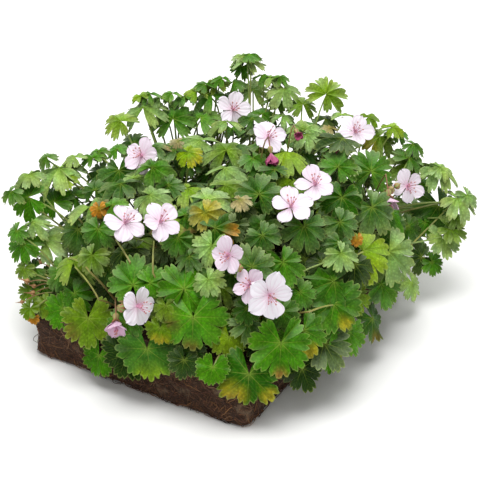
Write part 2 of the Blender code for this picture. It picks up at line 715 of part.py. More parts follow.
def flower_axis(flower, centre):
    """The direction that the flower looks in, from where its stamens point in the photograph."""
    depth = (centre - EYE).dot(VIEW_FORWARD)
    scale = depth / PHOTO_FOCUS / STAMEN_LENGTH
    across = (flower.stamens[0] - flower.centre[0]) * scale
    rise = (flower.centre[1] - flower.stamens[1]) * scale
    sideways = VIEW_RIGHT * across + VIEW_UP * rise
    if sideways.length > MOST_SIDEWAYS:
        sideways *= MOST_SIDEWAYS / sideways.length
    return (sideways - VIEW_FORWARD * math.sqrt(1 - sideways.length_squared)).normalized()


def petals(width, spread):
    """Five petals as one plate: a shallow dish, or a bell where they barely open."""
    lean = math.radians(spread)
    rim = []
    for petal in range(PETALS):
        for angle, length in PETAL_CORNERS:
            turn = math.radians(360 / PETALS * petal + angle)
            along = width / 2 * length
            flat = along * math.sin(lean)
            rim.append(Vector((flat * math.cos(turn), flat * math.sin(turn), along * math.cos(lean))))
    return sharp_plate(rim, PETAL_THICKNESS)


def flower_solids(flower):
    """Petals, the calyx behind them and the column of stamens in front."""
    centre = on_dome(flower.centre, FLOWER_STANDS_OUT + flower.deep * MM)
    axis = flower_axis(flower, centre)
    frame = frame_at(centre, axis.orthogonal(), axis)
    back = [Vector((0, 0, CALYX_LENGTH * along)) for along, _ in CALYX_SHAPE]
    calyx = tube(back, [CALYX_RADIUS * share for _, share in CALYX_SHAPE], CALYX_SIDES)
    column = [Vector((0, 0, STAMEN_LENGTH * along)) for along, _ in STAMEN_SHAPE]
    stamens = tube(column, [STAMEN_RADIUS * share for _, share in STAMEN_SHAPE], STAMEN_SIDES)
    parts = [petals(flower.width * MM, flower.spread), calyx, stamens]
    return [moved(part, frame) for part in parts], centre, axis


def bud_solid(centre, axis, width):
    """A plump closed bud that sits on the end of its pedicel."""
    path = [centre + axis * (width / 2 * along) for along, _ in BUD_SHAPE]
    return tube(path, [width / 2 * share for _, share in BUD_SHAPE], BUD_SIDES)


def middle_of(ends):
    return sum((end for end, _ in ends), Vector()) / len(ends)


def stem_solids(place, ends, buds):
    """One stem from the mat, forked into a pedicel for each flower and bud."""
    fork = middle_of(ends).lerp(place, FORK_DROP)
    fork.z = max(fork.z, place.z + FORK_HEIGHT)
    bend = Vector((place.x, place.y, place.z + (fork.z - place.z) * STEM_BEND))
    radii = [STEM_RADIUS] * (STEM_STEPS + 1)
    parts = [tube(curve(place, bend, fork, STEM_STEPS), radii, STEM_SIDES)]
    for end, axis in ends:
        elbow = end - axis * NOD
        bend = fork.lerp(elbow, 0.5) + Vector((0, 0, PEDICEL_LIFT))
        path = [*curve(fork, bend, elbow, PEDICEL_STEPS), end]
        parts.append(tube(path, [PEDICEL_RADIUS] * len(path), PEDICEL_SIDES))
    for bud in buds:
        centre = on_dome(bud.centre, BUD_STANDS_OUT)
        axis = (centre - fork).normalized()
        bend = fork.lerp(centre, 0.5) + Vector((0, 0, PEDICEL_LIFT))
        path = curve(fork, bend, centre, PEDICEL_STEPS)
        parts.append(tube(path, [PEDICEL_RADIUS] * len(path), PEDICEL_SIDES))
        parts.append(bud_solid(centre, axis, bud.width * MM))
    return parts


def united(name, solids, finish):
    """One node: the first solid, joined to the others by a Boolean union that is then made real."""
    collection = bpy.context.scene.collection
    helpers = bpy.data.collections.new(name + "_parts")
    collection.children.link(helpers)
    made = []
    for number, (points, faces) in enumerate(solids):
        mesh = bpy.data.meshes.new(f"{name}_{number}")
        mesh.from_pydata(points, [], faces)
        made.append(bpy.data.objects.new(f"{name}_{number}", mesh))
        (helpers if number else collection).objects.link(made[-1])
    join = made[0].modifiers.new("join", "BOOLEAN")
    join.operation = "UNION"
    join.solver = "EXACT"
    join.operand_type = "COLLECTION"
    join.collection = helpers
    bpy.context.view_layer.update()
    graph = bpy.context.evaluated_depsgraph_get()
    whole = bpy.data.meshes.new_from_object(made[0].evaluated_get(graph))
    for thing in made:
        bpy.data.objects.remove(thing, do_unlink=True)
    bpy.data.collections.remove(helpers)
    node(name, whole, finish)


def node(name, mesh, finish):
    mesh.name = name
    mesh.materials.clear()
    mesh.materials.append(finish)
    bpy.context.scene.collection.objects.link(bpy.data.objects.new(name, mesh))


def build():
    clear_scene()
    soil = material("soil", SOIL_COLOUR, SOIL_ROUGHNESS)
    leaf = material("leaf", LEAF_COLOUR, LEAF_ROUGHNESS)
    stem = material("stem", STEM_COLOUR, STEM_ROUGHNESS)
    petal = material("petal", PETAL_COLOUR, PETAL_ROUGHNESS)

    placed = Placed()
    mat = root_mat()
    placed.add("root_mat", mat)
    mesh = bpy.data.meshes.new("root_mat")
    mesh.from_pydata(mat[0], [], mat[1])
    node("root_mat", mesh, soil)

    crowns = crown_places()
    for which, place in enumerate(crowns):
        placed.add(shoot_name(which) + "_crown", crown(place))

    ends = {}
    for number, flower in enumerate(FLOWERS, 1):
        parts, centre, axis = flower_solids(flower)
        ends.setdefault(flower.stem, []).append((centre - axis * (CALYX_LENGTH + SEAT_GAP), axis))
        for part in parts:
            placed.add(f"flower_{number:02d}", part)
        united(f"flower_{number:02d}", parts, petal)

    free = stem_places()
    for number, stem_ends in ends.items():
        below = middle_of(stem_ends).xy * STEM_PULLED_IN
        place = min(free, key=lambda spot: (spot.xy - below).length)
        free.remove(place)
        buds = [bud for bud in BUDS if bud.stem == number]
        parts = stem_solids(place, stem_ends, buds)
        for part in parts:
            placed.add(f"stem_{number:02d}", part)
        united(f"stem_{number:02d}", parts, stem)

    for which, parts in enumerate(grow_leaves(placed, crowns)):
        united(shoot_name(which), parts, leaf)


build()
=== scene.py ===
"""A hardy geranium lifted out with its mat of soil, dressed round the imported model. Metres, +Z up."""

import math
import random

import bpy
import numpy as np
from mathutils import Matrix, Vector, kdtree, noise
from mathutils.bvhtree import BVHTree


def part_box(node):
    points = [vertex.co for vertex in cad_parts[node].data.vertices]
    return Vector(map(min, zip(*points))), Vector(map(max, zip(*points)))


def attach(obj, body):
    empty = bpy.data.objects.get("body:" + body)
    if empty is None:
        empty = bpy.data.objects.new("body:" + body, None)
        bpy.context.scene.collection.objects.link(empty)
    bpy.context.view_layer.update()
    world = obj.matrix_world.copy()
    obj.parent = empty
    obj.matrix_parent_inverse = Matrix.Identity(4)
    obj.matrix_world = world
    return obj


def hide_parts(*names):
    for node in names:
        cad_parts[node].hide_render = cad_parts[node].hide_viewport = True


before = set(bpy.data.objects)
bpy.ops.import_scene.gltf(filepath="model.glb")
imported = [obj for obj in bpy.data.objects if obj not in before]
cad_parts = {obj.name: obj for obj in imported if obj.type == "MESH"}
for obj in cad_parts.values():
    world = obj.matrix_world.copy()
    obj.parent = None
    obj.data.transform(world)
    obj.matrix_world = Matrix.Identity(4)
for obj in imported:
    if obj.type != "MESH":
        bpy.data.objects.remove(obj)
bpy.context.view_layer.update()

# The slab of soil
# Potting soil that the roots bind into one square-cornered slab. It was lifted out of a tray, so its
# underside is flat and its sides are rough, crumbly and matted with roots.
MM = 0.001
SLAB_CORNER = 9 * MM
SLAB_POINTS = 420
# Each ring round the slab, from the middle of its underside to the middle of its top: its height and how far
# it is drawn in, in mm
SLAB_RINGS = (
    [(0, inset) for inset in (92, 60, 30, 12, 5, 2.5)]
    + [(1.2, 0.9), (3, 0.2)]
    + [(height, 0) for height in np.arange(5, 41, 2)]
    + [(42.2, 0.6), (43.8, 1.6), (44.7, 3.2), (45, 5)]
    + [(45, inset) for inset in (7.5, 11, 15, 20, 26, 33, 41, 50, 60, 71, 83, 92)]
)
# Above this height, in mm, the side turns into the top. The underside is rough only this near its edge.
SHOULDER = 44
ROUGH_EDGE = 6
LUMP = 13 * MM
LUMP_DEPTH = 1.5 * MM
CRUMB = 3.6 * MM
CRUMB_DEPTH = 1.2 * MM


def linear(code):
    """An sRGB hex colour as linear red, green and blue."""
    parts = [int(code[start : start + 2], 16) / 255 for start in (0, 2, 4)]
    return np.array([c / 12.92 if c <= 0.04045 else ((c + 0.055) / 1.055) ** 2.4 for c in parts])


def add(tree, kind, inputs=(), **settings):
    """Adds one node with its settings. Each input is a number, a colour or another node's output."""
    made = tree.nodes.new("ShaderNode" + kind)
    for name, value in settings.items():
        setattr(made, name, value)
    for name, value in dict(inputs).items():
        if isinstance(value, bpy.types.NodeSocket):
            tree.links.new(value, made.inputs[name])
        else:
            made.inputs[name].default_value = value
    return made


def finish(name):
    """A new material, named for the real finish, with its nodes and its shader."""
    made = bpy.data.materials.new(name)
    made.use_nodes = True
    return made, made.node_tree, made.node_tree.nodes["Principled BSDF"]


class Pile:
    """The points and faces of one piece as it is built, with what its material reads at each point."""

    def __init__(self):
        self.count = 0
        self.points, self.faces, self.finishes = [], [], []
        self.place, self.paint, self.under = [], [], []

    def put(self, points, faces, paint, place=0.0, under=0.0, finish=0):
        count = len(points)
        self.points.append(np.asarray(points, float))
        self.faces.append(np.asarray(faces, int) + self.count)
        self.finishes.append(np.full(len(faces), finish))
        self.place.append(np.broadcast_to(place, (count, 3)))
        self.paint.append(np.column_stack((np.broadcast_to(paint, (count, 3)), np.ones(count))))
        self.under.append(np.broadcast_to(under, (count,)))
        self.count += count

    def piece(self, name, *materials):
        """One smooth-shaded mesh object, with hard edges where a sheet turns over its rim."""
        points = np.concatenate(self.points)
        faces = np.concatenate(self.faces)
        mesh = bpy.data.meshes.new(name)
        mesh.vertices.add(len(points))
        mesh.vertices.foreach_set("co", points.astype(np.float32).ravel())
        mesh.loops.add(faces.size)
        mesh.loops.foreach_set("vertex_index", faces.astype(np.int32).ravel())
        mesh.polygons.add(len(faces))
        mesh.polygons.foreach_set("loop_start", np.arange(0, faces.size, 3, dtype=np.int32))
        for material in materials:
            mesh.materials.append(material)
        mesh.polygons.foreach_set("material_index", np.concatenate(self.finishes).astype(np.int32))
        mesh.polygons.foreach_set("use_smooth", np.ones(len(faces), bool))
        mesh.update(calc_edges=True)
        for attribute, kind, field, values in (
            ("place", "FLOAT_VECTOR", "vector", self.place),
            ("paint", "FLOAT_COLOR", "color", self.paint),
            ("under", "FLOAT", "value", self.under),
        ):
            layer = mesh.attributes.new(attribute, kind, "POINT")
            layer.data.foreach_set(field, np.concatenate(values).astype(np.float32).ravel())
        mesh.set_sharp_from_angle(angle=math.radians(55))
        made = bpy.data.objects.new(name, mesh)
        bpy.context.scene.collection.objects.link(made)
        return made


slab_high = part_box("root_mat")[1]


def slab_outline(inset):
    """Points and outward directions evenly round the slab, drawn in by inset."""
    half = np.array((slab_high.x, slab_high.y)) - inset
    radius = min(SLAB_CORNER, *half)
    corners, normals = [], []
    for quarter, signs in enumerate(((1, 1), (-1, 1), (-1, -1), (1, -1))):
        for step in range(7):
            turn = math.pi / 2 * (quarter + step / 6)
            normals.append((math.cos(turn), math.sin(turn)))
            corners.append(np.array(signs) * (half - radius) + np.array(normals[-1]) * radius)
    corners = np.array(corners + corners[:1])
    normals = np.array(normals + normals[:1])
    run = np.concatenate(([0], np.cumsum(np.linalg.norm(np.diff(corners, axis=0), axis=1))))
    spots = np.linspace(0, run[-1], SLAB_POINTS, endpoint=False)
    points = np.column_stack([np.interp(spots, run, corners[:, axis]) for axis in (0, 1)])
    outs = np.column_stack([np.interp(spots, run, normals[:, axis]) for axis in (0, 1)])
    return points, outs / np.linalg.norm(outs, axis=1)[:, None]


def ring_faces(rings, count):
    """Triangles between closed rings of points, each of them count long."""
    faces = []
    for ring in range(rings - 1):
        for step in range(count):
            a = ring * count + step
            b = ring * count + (step + 1) % count
            faces += [(a, b, b + count), (a, b + count, a + count)]
    return faces


def roughness_at(point):
    """How far the soil stands out at a point: coarse lumps and fine crumbs."""
    lumps = noise.fractal(Vector(point) / LUMP, 0.9, 2.1, 3)
    crumbs = noise.noise(Vector(point) / CRUMB)
    return lumps * LUMP_DEPTH + crumbs * CRUMB_DEPTH


soil_pile = Pile()
slab_points = []
for height, inset in SLAB_RINGS:
    outline, outs = slab_outline(inset * MM)
    for (x, y), (out_x, out_y) in zip(outline, outs):
        spot = Vector((x, y, height * MM))
        rough = roughness_at(spot)
        if height == 0:
            side = rough if inset < ROUGH_EDGE else 0
            slab_points.append((x + out_x * side, y + out_y * side, 0))
        elif height < SHOULDER:
            slab_points.append((x + out_x * rough, y + out_y * rough, spot.z + rough * 0.3))
        else:
            slab_points.append((x, y, spot.z + rough * 1.3))
slab_faces = ring_faces(len(SLAB_RINGS), SLAB_POINTS)
bottom_middle = len(slab_points)
slab_points += [(0, 0, 0), (0, 0, slab_high.z)]
last_ring = (len(SLAB_RINGS) - 1) * SLAB_POINTS
for side in range(SLAB_POINTS):
    after = (side + 1) % SLAB_POINTS
    slab_faces += [(bottom_middle, after, side), (bottom_middle + 1, last_ring + side, last_ring + after)]
soil_pile.put(slab_points, slab_faces, linear("3a2b22"))

# Damp potting soil: very dark, matt and crumbly, with redder fibres of peat and paler dry specks
PEAT_GRAIN = 1.6 * MM
PEAT_FIBRE = 2.4 * MM
damp_soil, tree, shader = finish("damp_potting_soil")
spot = add(tree, "TexCoord").outputs["Object"]
grain = add(tree, "TexNoise", {"Vector": spot, "Scale": 1 / PEAT_GRAIN, "Detail": 6, "Roughness": 0.7})
stretched = add(tree, "Mapping", {"Vector": spot, "Rotation": (0.5, 0.3, 0.6), "Scale": (1, 1, 3.4)})
fibre = add(
    tree,
    "TexNoise",
    {"Vector": stretched.outputs[0], "Scale": 1 / PEAT_FIBRE, "Detail": 4, "Distortion": 1.6},
)
patch = add(tree, "TexNoise", {"Vector": spot, "Scale": 1 / LUMP, "Detail": 3})
dark = add(
    tree,
    "Mix",
    {0: grain.outputs[0], 6: (*linear("0f0a08"), 1), 7: (*linear("523c2e"), 1)},
    data_type="RGBA",
)
fibres = add(
    tree, "MapRange", {"Value": fibre.outputs[0], "From Min": 0.55, "From Max": 0.64, "To Max": 0.75}
)
brown = add(
    tree,
    "Mix",
    {0: fibres.outputs[0], 6: dark.outputs[2], 7: (*linear("94603f"), 1)},
    data_type="RGBA",
)
dry = add(tree, "MapRange", {"Value": patch.outputs[0], "From Min": 0.55, "From Max": 0.75, "To Max": 0.5})
soil_colour = add(
    tree, "Mix", {0: dry.outputs[0], 6: brown.outputs[2], 7: (*linear("a08a70"), 1)}, data_type="RGBA"
)
height = add(tree, "Math", {0: grain.outputs[0], 1: fibre.outputs[0]}, operation="ADD")
bump = add(tree, "Bump", {"Height": height.outputs[0], "Strength": 0.9, "Distance": 1.2 * MM})
tree.links.new(soil_colour.outputs[2], shader.inputs["Base Color"])
tree.links.new(bump.outputs[0], shader.inputs["Normal"])
shader.inputs["Roughness"].default_value = 0.93
shader.inputs["Specular IOR Level"].default_value = 0.25
slab = soil_pile.piece("soil_slab", damp_soil)
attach(slab, "root")
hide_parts("root_mat")

# Roots and crumbs on the slab
# Fine reddish-brown roots that ran round the inside of the tray and now hold the soil together. They lie
# in and on its sides, and some ends hang loose. Crumbs of soil cling between them.
ROOTS = 820
ROOT_RADII = (0.16, 0.42)
ROOT_STEP = 3.2 * MM
ROOT_TONES = [linear(code) for code in ("6b4029", "7d5236", "543324", "8d6a4c", "9a6a3c", "3f281d")]
LOOSE_ROOTS = 46
CRUMBS = 520
CRUMB_RADII = (0.6, 1.9)
CRUMB_LEVEL = 45.5 * MM


def closed_faces(rings, count):
    """Triangles between closed rings, and over the first and the last of them."""
    last = (rings - 1) * count
    faces = ring_faces(rings, count)
    for step in range(1, count - 1):
        faces += [(0, step + 1, step), (last, last + step, last + step + 1)]
    return faces


def tube(path, radii, sides=6):
    """Points and faces of a closed tube along a path."""
    path = np.asarray(path, float)
    runs = np.diff(path, axis=0)
    runs /= np.linalg.norm(runs, axis=1)[:, None]
    tangents = np.vstack((runs[:1], runs[:-1] + runs[1:], runs[-1:]))
    across = np.array(Vector(runs[0]).orthogonal().normalized())
    turns = 2 * math.pi * np.arange(sides) / sides
    points = []
    for spot, tangent, radius in zip(path, tangents, radii):
        tangent = tangent / np.linalg.norm(tangent)
        across = across - tangent * (across @ tangent)
        across /= np.linalg.norm(across)
        other = np.cross(tangent, across)
        points.append(spot + (np.outer(np.cos(turns), across) + np.outer(np.sin(turns), other)) * radius)
    return np.concatenate(points), closed_faces(len(path), sides)


side_line, side_outs = slab_outline(0)
side_length = 2 * (slab_high.x + slab_high.y) * 2 - 8 * SLAB_CORNER + 2 * math.pi * SLAB_CORNER


def on_side(along, height, out):
    """A point on the slab's side: metres round it, height, and how far it stands out."""
    share = along / side_length * SLAB_POINTS
    before = int(share) % SLAB_POINTS
    after = (before + 1) % SLAB_POINTS
    part = share - math.floor(share)
    x, y = side_line[before] * (1 - part) + side_line[after] * part
    out += roughness_at((x, y, height))
    return np.array((x + side_outs[before][0] * out, y + side_outs[before][1] * out, height))


chance = random.Random(61)
root_pile = Pile()
for number in range(ROOTS):
    along = chance.uniform(0, side_length)
    height = chance.uniform(1.0, 44) * MM
    heading = chance.choice((0, math.pi)) + chance.gauss(0, 0.75)
    radius = chance.uniform(*ROOT_RADII) * MM
    phase = chance.uniform(0, 2 * math.pi)
    path = []
    for step in range(chance.randint(5, 15)):
        out = (0.25 + 0.55 * math.sin(phase + step * 0.9)) * MM
        path.append(on_side(along, height, out))
        heading += chance.gauss(0, 0.28)
        along += math.cos(heading) * ROOT_STEP
        height += math.sin(heading) * ROOT_STEP
        if not 0.8 * MM < height < 44.5 * MM:
            height = min(max(height, 0.9 * MM), 44 * MM)
            heading = -heading
    radii = np.linspace(radius, radius * 0.5, len(path))
    root_pile.put(*tube(path, radii, 4), chance.choice(ROOT_TONES) * chance.uniform(0.6, 1.8))
for number in range(LOOSE_ROOTS):
    along = chance.uniform(0, side_length)
    height = chance.uniform(1.5, 30) * MM
    path = []
    curl = chance.uniform(1.5, 4.5)
    for step in range(8):
        share = step / 7
        out = math.sin(share * math.pi * chance.uniform(0.85, 1.0)) * curl * MM
        path.append(on_side(along + share * 9 * MM, max(height - share * 4 * MM, 0.6 * MM), out))
    root_pile.put(*tube(path, np.full(8, 0.24 * MM), 4), chance.choice(ROOT_TONES) * chance.uniform(0.8, 1.4))

CRUMB_FACES = [(0, 2, 4), (2, 1, 4), (1, 3, 4), (3, 0, 4), (2, 0, 5), (1, 2, 5), (3, 1, 5), (0, 3, 5)]
crumb_pile = Pile()
for number in range(CRUMBS):
    size = chance.uniform(*CRUMB_RADII) * MM
    if number % 4:
        middle = on_side(chance.uniform(0, side_length), chance.uniform(1.5, 44) * MM, -0.2 * size)
    else:
        spot = [chance.uniform(-0.9, 0.9) * half for half in (slab_high.x, slab_high.y)]
        middle = np.array((*spot, CRUMB_LEVEL))
    ends = [Vector(end) for end in ((1, 0, 0), (-1, 0, 0), (0, 1, 0), (0, -1, 0), (0, 0, 1), (0, 0, -1))]
    points = [middle + np.array(end) * size * chance.uniform(0.6, 1.1) for end in ends]
    crumb_pile.put(points, CRUMB_FACES, linear("33261d") * chance.uniform(0.4, 2.2))

# Root bark: matt brown, a little redder or paler along each root
root_bark, tree, shader = finish("root_bark")
paint = add(tree, "Attribute", attribute_name="paint").outputs["Color"]
spot = add(tree, "TexCoord").outputs["Object"]
mottle = add(tree, "TexNoise", {"Vector": spot, "Scale": 1 / (4 * MM), "Detail": 3})
bark_colour = add(
    tree,
    "Mix",
    {0: mottle.outputs[0], 6: (*linear("241813"), 1), 7: paint},
    data_type="RGBA",
)
bump = add(tree, "Bump", {"Height": mottle.outputs[0], "Strength": 0.5, "Distance": 0.2 * MM})
tree.links.new(bark_colour.outputs[2], shader.inputs["Base Color"])
tree.links.new(bump.outputs[0], shader.inputs["Normal"])
shader.inputs["Roughness"].default_value = 0.8
roots = root_pile.piece("roots_on_the_slab", root_bark)
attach(roots, "root")
crumbs = crumb_pile.piece("soil_crumbs", damp_soil)
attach(crumbs, "root")

# Shoots
# Each shoot grew as one piece: a short crown at the soil with petioles and lobed leaf blades. A blade
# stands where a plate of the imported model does, found in its node's mesh. Smaller leaves fill in between.
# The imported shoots' own sizes
SEAT_GAP = 0.3 * MM
PETIOLE_JOINS_AT = 2.4 * MM
PETIOLE_NECK = 4 * MM
CROWN_HEIGHT = 9 * MM
FEET = 8
FEET_RING_RADIUS = 3.2 * MM
PETIOLE_RADIUS = 0.9 * MM
PETIOLE_RISE = 1.1
# Where a petiole may bend: the share of its run, and its lift and sway there in mm
PETIOLE_BENDS = [
    (share, lift, sway)
    for share, lift in ((0.35, 10), (0.35, 22), (0.70, 4), (0.70, 14), (0.35, 36), (0.95, 6))
    for sway in (0, 8, -8, 17, -17, 28, -28)
]
# A packed plate: how near its rim comes to its hub at the stalk, as a share of its reach, and how many
# points its rim has
BASE_NOTCH = 0.05
PLATE_RIM = 15
PLATE_THICKNESS = 1.0 * MM

# A leaf's outline. Seven lobes stand 46 degrees apart. Each half lobe has a blunt middle tooth and a side
# tooth: degrees from the lobe's middle line, and share of the lobe's length.
LOBE_TURN = 46
LOBE_LENGTHS = (1.0, 0.985, 0.93, 0.80)
TEETH = (
    (0, 1.0), (4, 0.975), (7, 0.87), (10, 0.935), (13.5, 0.965),
    (17, 0.89), (20, 0.87), (22, 0.80), (23, 0.60),
)
HALF_LOBE = 23
FINE_SIDES = (-23, -22, -20, -17, -13.5, -10, -7, -4, 0, 4, 7, 10, 13.5, 17, 20, 22)
COARSE_SIDES = (-23, -21, -13.5, -7, 0, 7, 13.5, 21)
FINE_RINGS = (0.30, 0.60, 0.86, 1.0)
COARSE_RINGS = (0.5, 1.0)
LEAF_THICKNESS = 0.34 * MM
# A leaf whose hub is lower than this hangs against the slab's side
AGAINST_SLAB = 66 * MM
# How one leaf differs from the next: the length, tilt and lean of its lobes, and the depth of its teeth and
# of its notches
LOBE_VARIES = (0.89, 1.06)
LOBE_TILT = (-0.20, 0.20)
LOBE_LEAN = (-2.5, 2.5)
TOOTH_CUT = (0.95, 1.35)
TOOTH_VARIES = 0.025
NOTCH_AT = (0.44, 0.68)
# The pleats between its veins, the curl of its rim and its fold along the middle, with the more that a
# level leaf has of them
PLEAT = (0.05, 0.14)
LEVEL_PLEAT = (0.12, 0.31)
CURL = (-0.04, 0.14)
LEVEL_CURL = (0.08, 0.24)
FOLD = (-0.34, 0.02)
WAVE_SIZE = (0.010, 0.030)
WAVE_COUNTS = (3, 5, 7, 9)
# A leaf counts as level from this much of its face upward, and fully so over this much more
LEVEL_FROM = 0.45
LEVEL_OVER = 0.4
# How much a level leaf's lobes stand apart, from this many degrees off their middle lines
LEVEL_CUT = 0.26
LEVEL_CUT_FROM = 17

# Leaf colours, from the dull greens of the shaded leaves to the first autumn ones. The pale green is a
# painted sheen: the sky's light on leaves that lie level.
TONES = {
    name: linear(code)
    for name, code in {
        "dark": "1b3a05",
        "deep": "2a5c04",
        "mid": "3f7a04",
        "bright": "478609",
        "lime": "86a818",
        "olive": "63830e",
        "pale": "93b36e",
        "blue": "437828",
        "yellow": "b7a62c",
        "brown": "70582a",
        "orange": "c98428",
        "red": "94603a",
        "pink": "b59a7c",
    }.items()
}
# The sky's pale sheen on a leaf that lies level, and how strong it is at the rim
SHEEN = linear("a3b98a")
RIM_SHEEN = 2.2
# How much less red, green and blue a leaf has at its hub than at its rim. It goes with the painted sheen: the
# rim is left paler and the hub a deep, saturated green.
HUB_GREEN = np.array((0.28, 0.06, 0.55))
# The tone of each leaf that the photograph shows, by the pixel of its hub
PHOTO_TONES = {
    "dark": (
        (128, 354), (184, 360), (324, 343), (258, 340), (112, 287), (355, 264), (305, 258), (422, 257),
    ),
    "deep": (
        (249, 374), (61, 330), (252, 267), (103, 172), (119, 170), (134, 143), (259, 194), (215, 228),
        (342, 197), (372, 207), (282, 312), (439, 205), (408, 226), (340, 243), (78, 229), (304, 226),
        (340, 222),
    ),
    "mid": (
        (281, 343), (304, 330), (184, 289), (62, 272), (45, 305), (46, 277), (371, 171), (338, 167),
        (29, 197), (22, 243), (54, 202), (98, 229), (173, 119), (152, 167), (178, 238), (409, 158),
        (213, 367), (334, 281), (334, 304),
    ),
    "bright": (
        (193, 317), (62, 316), (133, 285), (150, 283), (283, 262), (421, 183), (93, 158), (117, 149),
        (200, 118), (212, 95),
    ),
    "lime": (
        (73, 263), (363, 251), (62, 178), (188, 152), (326, 94), (121, 121), (229, 337),
    ),
    "olive": (
        (88, 318), (160, 328), (246, 300), (92, 255), (450, 229), (411, 163),
        (225, 185), (226, 150), (303, 104), (380, 136),
    ),
    # Leaves painted pale with the sky's sheen where they lie level
    "pale": (
        (208, 279), (212, 245), (389, 252), (443, 238), (457, 198), (437, 168), (412, 204), (341, 253),
        (44, 240), (32, 222), (59, 168), (66, 167), (89, 207), (206, 200), (224, 168), (200, 140), (253, 90),
        (272, 77), (284, 88), (305, 129), (307, 134), (143, 108), (150, 195), (247, 60),
    ),
    "blue": ((147, 349),),
}
# Where a leaf has turned: its hub's pixel, the pixel of the turned place, its tone and its size in mm
TURNED = (
    ((249, 374), (234, 394), "yellow", 9),
    ((249, 374), (232, 404), "brown", 5),
    ((249, 374), (270, 398), "yellow", 6),
    ((193, 317), (172, 322), "brown", 8),
    ((193, 317), (188, 352), "brown", 7),
    ((281, 343), (281, 378), "red", 5),
    ((88, 318), (72, 332), "brown", 6),
    ((62, 316), (46, 320), "yellow", 6),
    ((304, 330), (312, 352), "yellow", 6),
    ((246, 300), (226, 306), "brown", 8),
    ((246, 300), (266, 312), "yellow", 7),
    ((184, 289), (200, 282), "brown", 6),
    ((215, 228), (236, 232), "orange", 8),
    ((160, 328), (158, 340), "yellow", 6),
    ((188, 152), (196, 156), "yellow", 8),
    ((380, 136), (372, 142), "yellow", 7),
    ((147, 349), (150, 378), "lime", 11),
    ((389, 252), (390, 262), "brown", 5),
    ((334, 304), (346, 324), "yellow", 5),
)

# The photograph is square and is seen by a pinhole camera above and to the right of the front. Its side and
# its focus are in pixels.
PHOTO_SIDE = 480
PHOTO_MIDDLE = PHOTO_SIDE / 2
PHOTO_FOCUS = 1474
PHOTO_AZIMUTH = math.radians(30.5)
PHOTO_PITCH = math.radians(31.6)
# The slab's near bottom corner, the pixel that shows it, and how far along the view it lies
NEAR_CORNER = Vector((0.100, -0.125, 0))
NEAR_CORNER_PIXEL = (246, 431)
NEAR_CORNER_DISTANCE = 1.114
VIEW_RIGHT = Vector((math.cos(PHOTO_AZIMUTH), math.sin(PHOTO_AZIMUTH), 0))
VIEW_LEVEL = Vector((-math.sin(PHOTO_AZIMUTH), math.cos(PHOTO_AZIMUTH), 0))
VIEW_FORWARD = VIEW_LEVEL * math.cos(PHOTO_PITCH) - Vector((0, 0, math.sin(PHOTO_PITCH)))
VIEW_UP = VIEW_RIGHT.cross(VIEW_FORWARD)


def sight(pixel):
    """The line of sight through a pixel, one unit long along the view."""
    across = (pixel[0] - PHOTO_MIDDLE) / PHOTO_FOCUS
    rise = (PHOTO_MIDDLE - pixel[1]) / PHOTO_FOCUS
    return VIEW_FORWARD + VIEW_RIGHT * across + VIEW_UP * rise


EYE = NEAR_CORNER - sight(NEAR_CORNER_PIXEL) * NEAR_CORNER_DISTANCE


def pixel_of(point):
    """Where the photograph shows a point."""
    offset = point - EYE
    depth = offset.dot(VIEW_FORWARD) / PHOTO_FOCUS
    return PHOTO_MIDDLE + offset.dot(VIEW_RIGHT) / depth, PHOTO_MIDDLE - offset.dot(VIEW_UP) / depth


def welded(node):
    """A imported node's points, each once, and its triangles."""
    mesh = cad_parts[node].data
    mesh.calc_loop_triangles()
    points = np.empty(len(mesh.vertices) * 3, np.float32)
    mesh.vertices.foreach_get("co", points)
    faces = np.empty(len(mesh.loop_triangles) * 3, np.int32)
    mesh.loop_triangles.foreach_get("vertices", faces)
    rounded = np.round(points.reshape(-1, 3).astype(float), 6)
    points, index = np.unique(rounded, axis=0, return_inverse=True)
    return points, index.reshape(-1)[faces].reshape(-1, 3)


def plates_of(node):
    """The leaf plates in a shoot: each one's frame, reach and droop, read off the fan of triangles round
    the top of its hub."""
    points, faces = welded(node)
    rim_of = {}
    for face in faces:
        for corner in face:
            rim_of.setdefault(int(corner), []).append(face)
    found = []
    for hub, around in rim_of.items():
        ring = sorted({int(corner) for face in around for corner in face} - {hub})
        if len(around) != PLATE_RIM or len(ring) != PLATE_RIM:
            continue
        spans = np.linalg.norm(points[ring] - points[hub], axis=1)
        below = np.linalg.norm(points - points[hub], axis=1)
        under = int(np.argmin(np.abs(below - PLATE_THICKNESS)))
        if spans.min() > 0.1 * spans.max() or abs(below[under] - PLATE_THICKNESS) > 0.03 * MM:
            continue
        up = Vector(points[hub] - points[under]).normalized()
        origin = Vector((points[hub] + points[under]) / 2)
        back = Vector(points[ring[int(spans.argmin())]]) - origin
        reach = back.length / BASE_NOTCH
        if not 6 * MM < reach < 40 * MM or abs(back.normalized().dot(up)) > 0.1:
            continue
        along = (-back + up * back.dot(up)).normalized()
        turned = Matrix((along, up.cross(along), up)).transposed()
        local = (points[ring] - np.array(origin)) @ np.array(turned)
        flat = np.linalg.norm(local[:, :2], axis=1)
        far = flat > 0.5 * reach
        droop = float(np.mean(-local[far, 2] / flat[far]))
        found.append((Matrix.Translation(origin) @ turned.to_4x4(), reach, droop))
    return points, found


def bezier(start, bend, end, steps):
    """Points along a curve that leaves one end for the bend and comes from there to the other."""
    shares = [step / steps for step in range(steps + 1)]
    return [start * (1 - s) ** 2 + bend * (2 * s * (1 - s)) + end * s**2 for s in shares]


def petiole_bend(start, neck, turn):
    """The middle point that a petiole's curve is drawn to."""
    run = neck - start
    share, lift, sway = turn
    rise = max(run.z, 0) * (PETIOLE_RISE - share) + lift * MM
    bend = start + Vector((run.x, run.y, 0)) * share + Vector((0, 0, rise))
    return bend + Vector((-run.y, run.x, 0)).normalized() * sway * MM


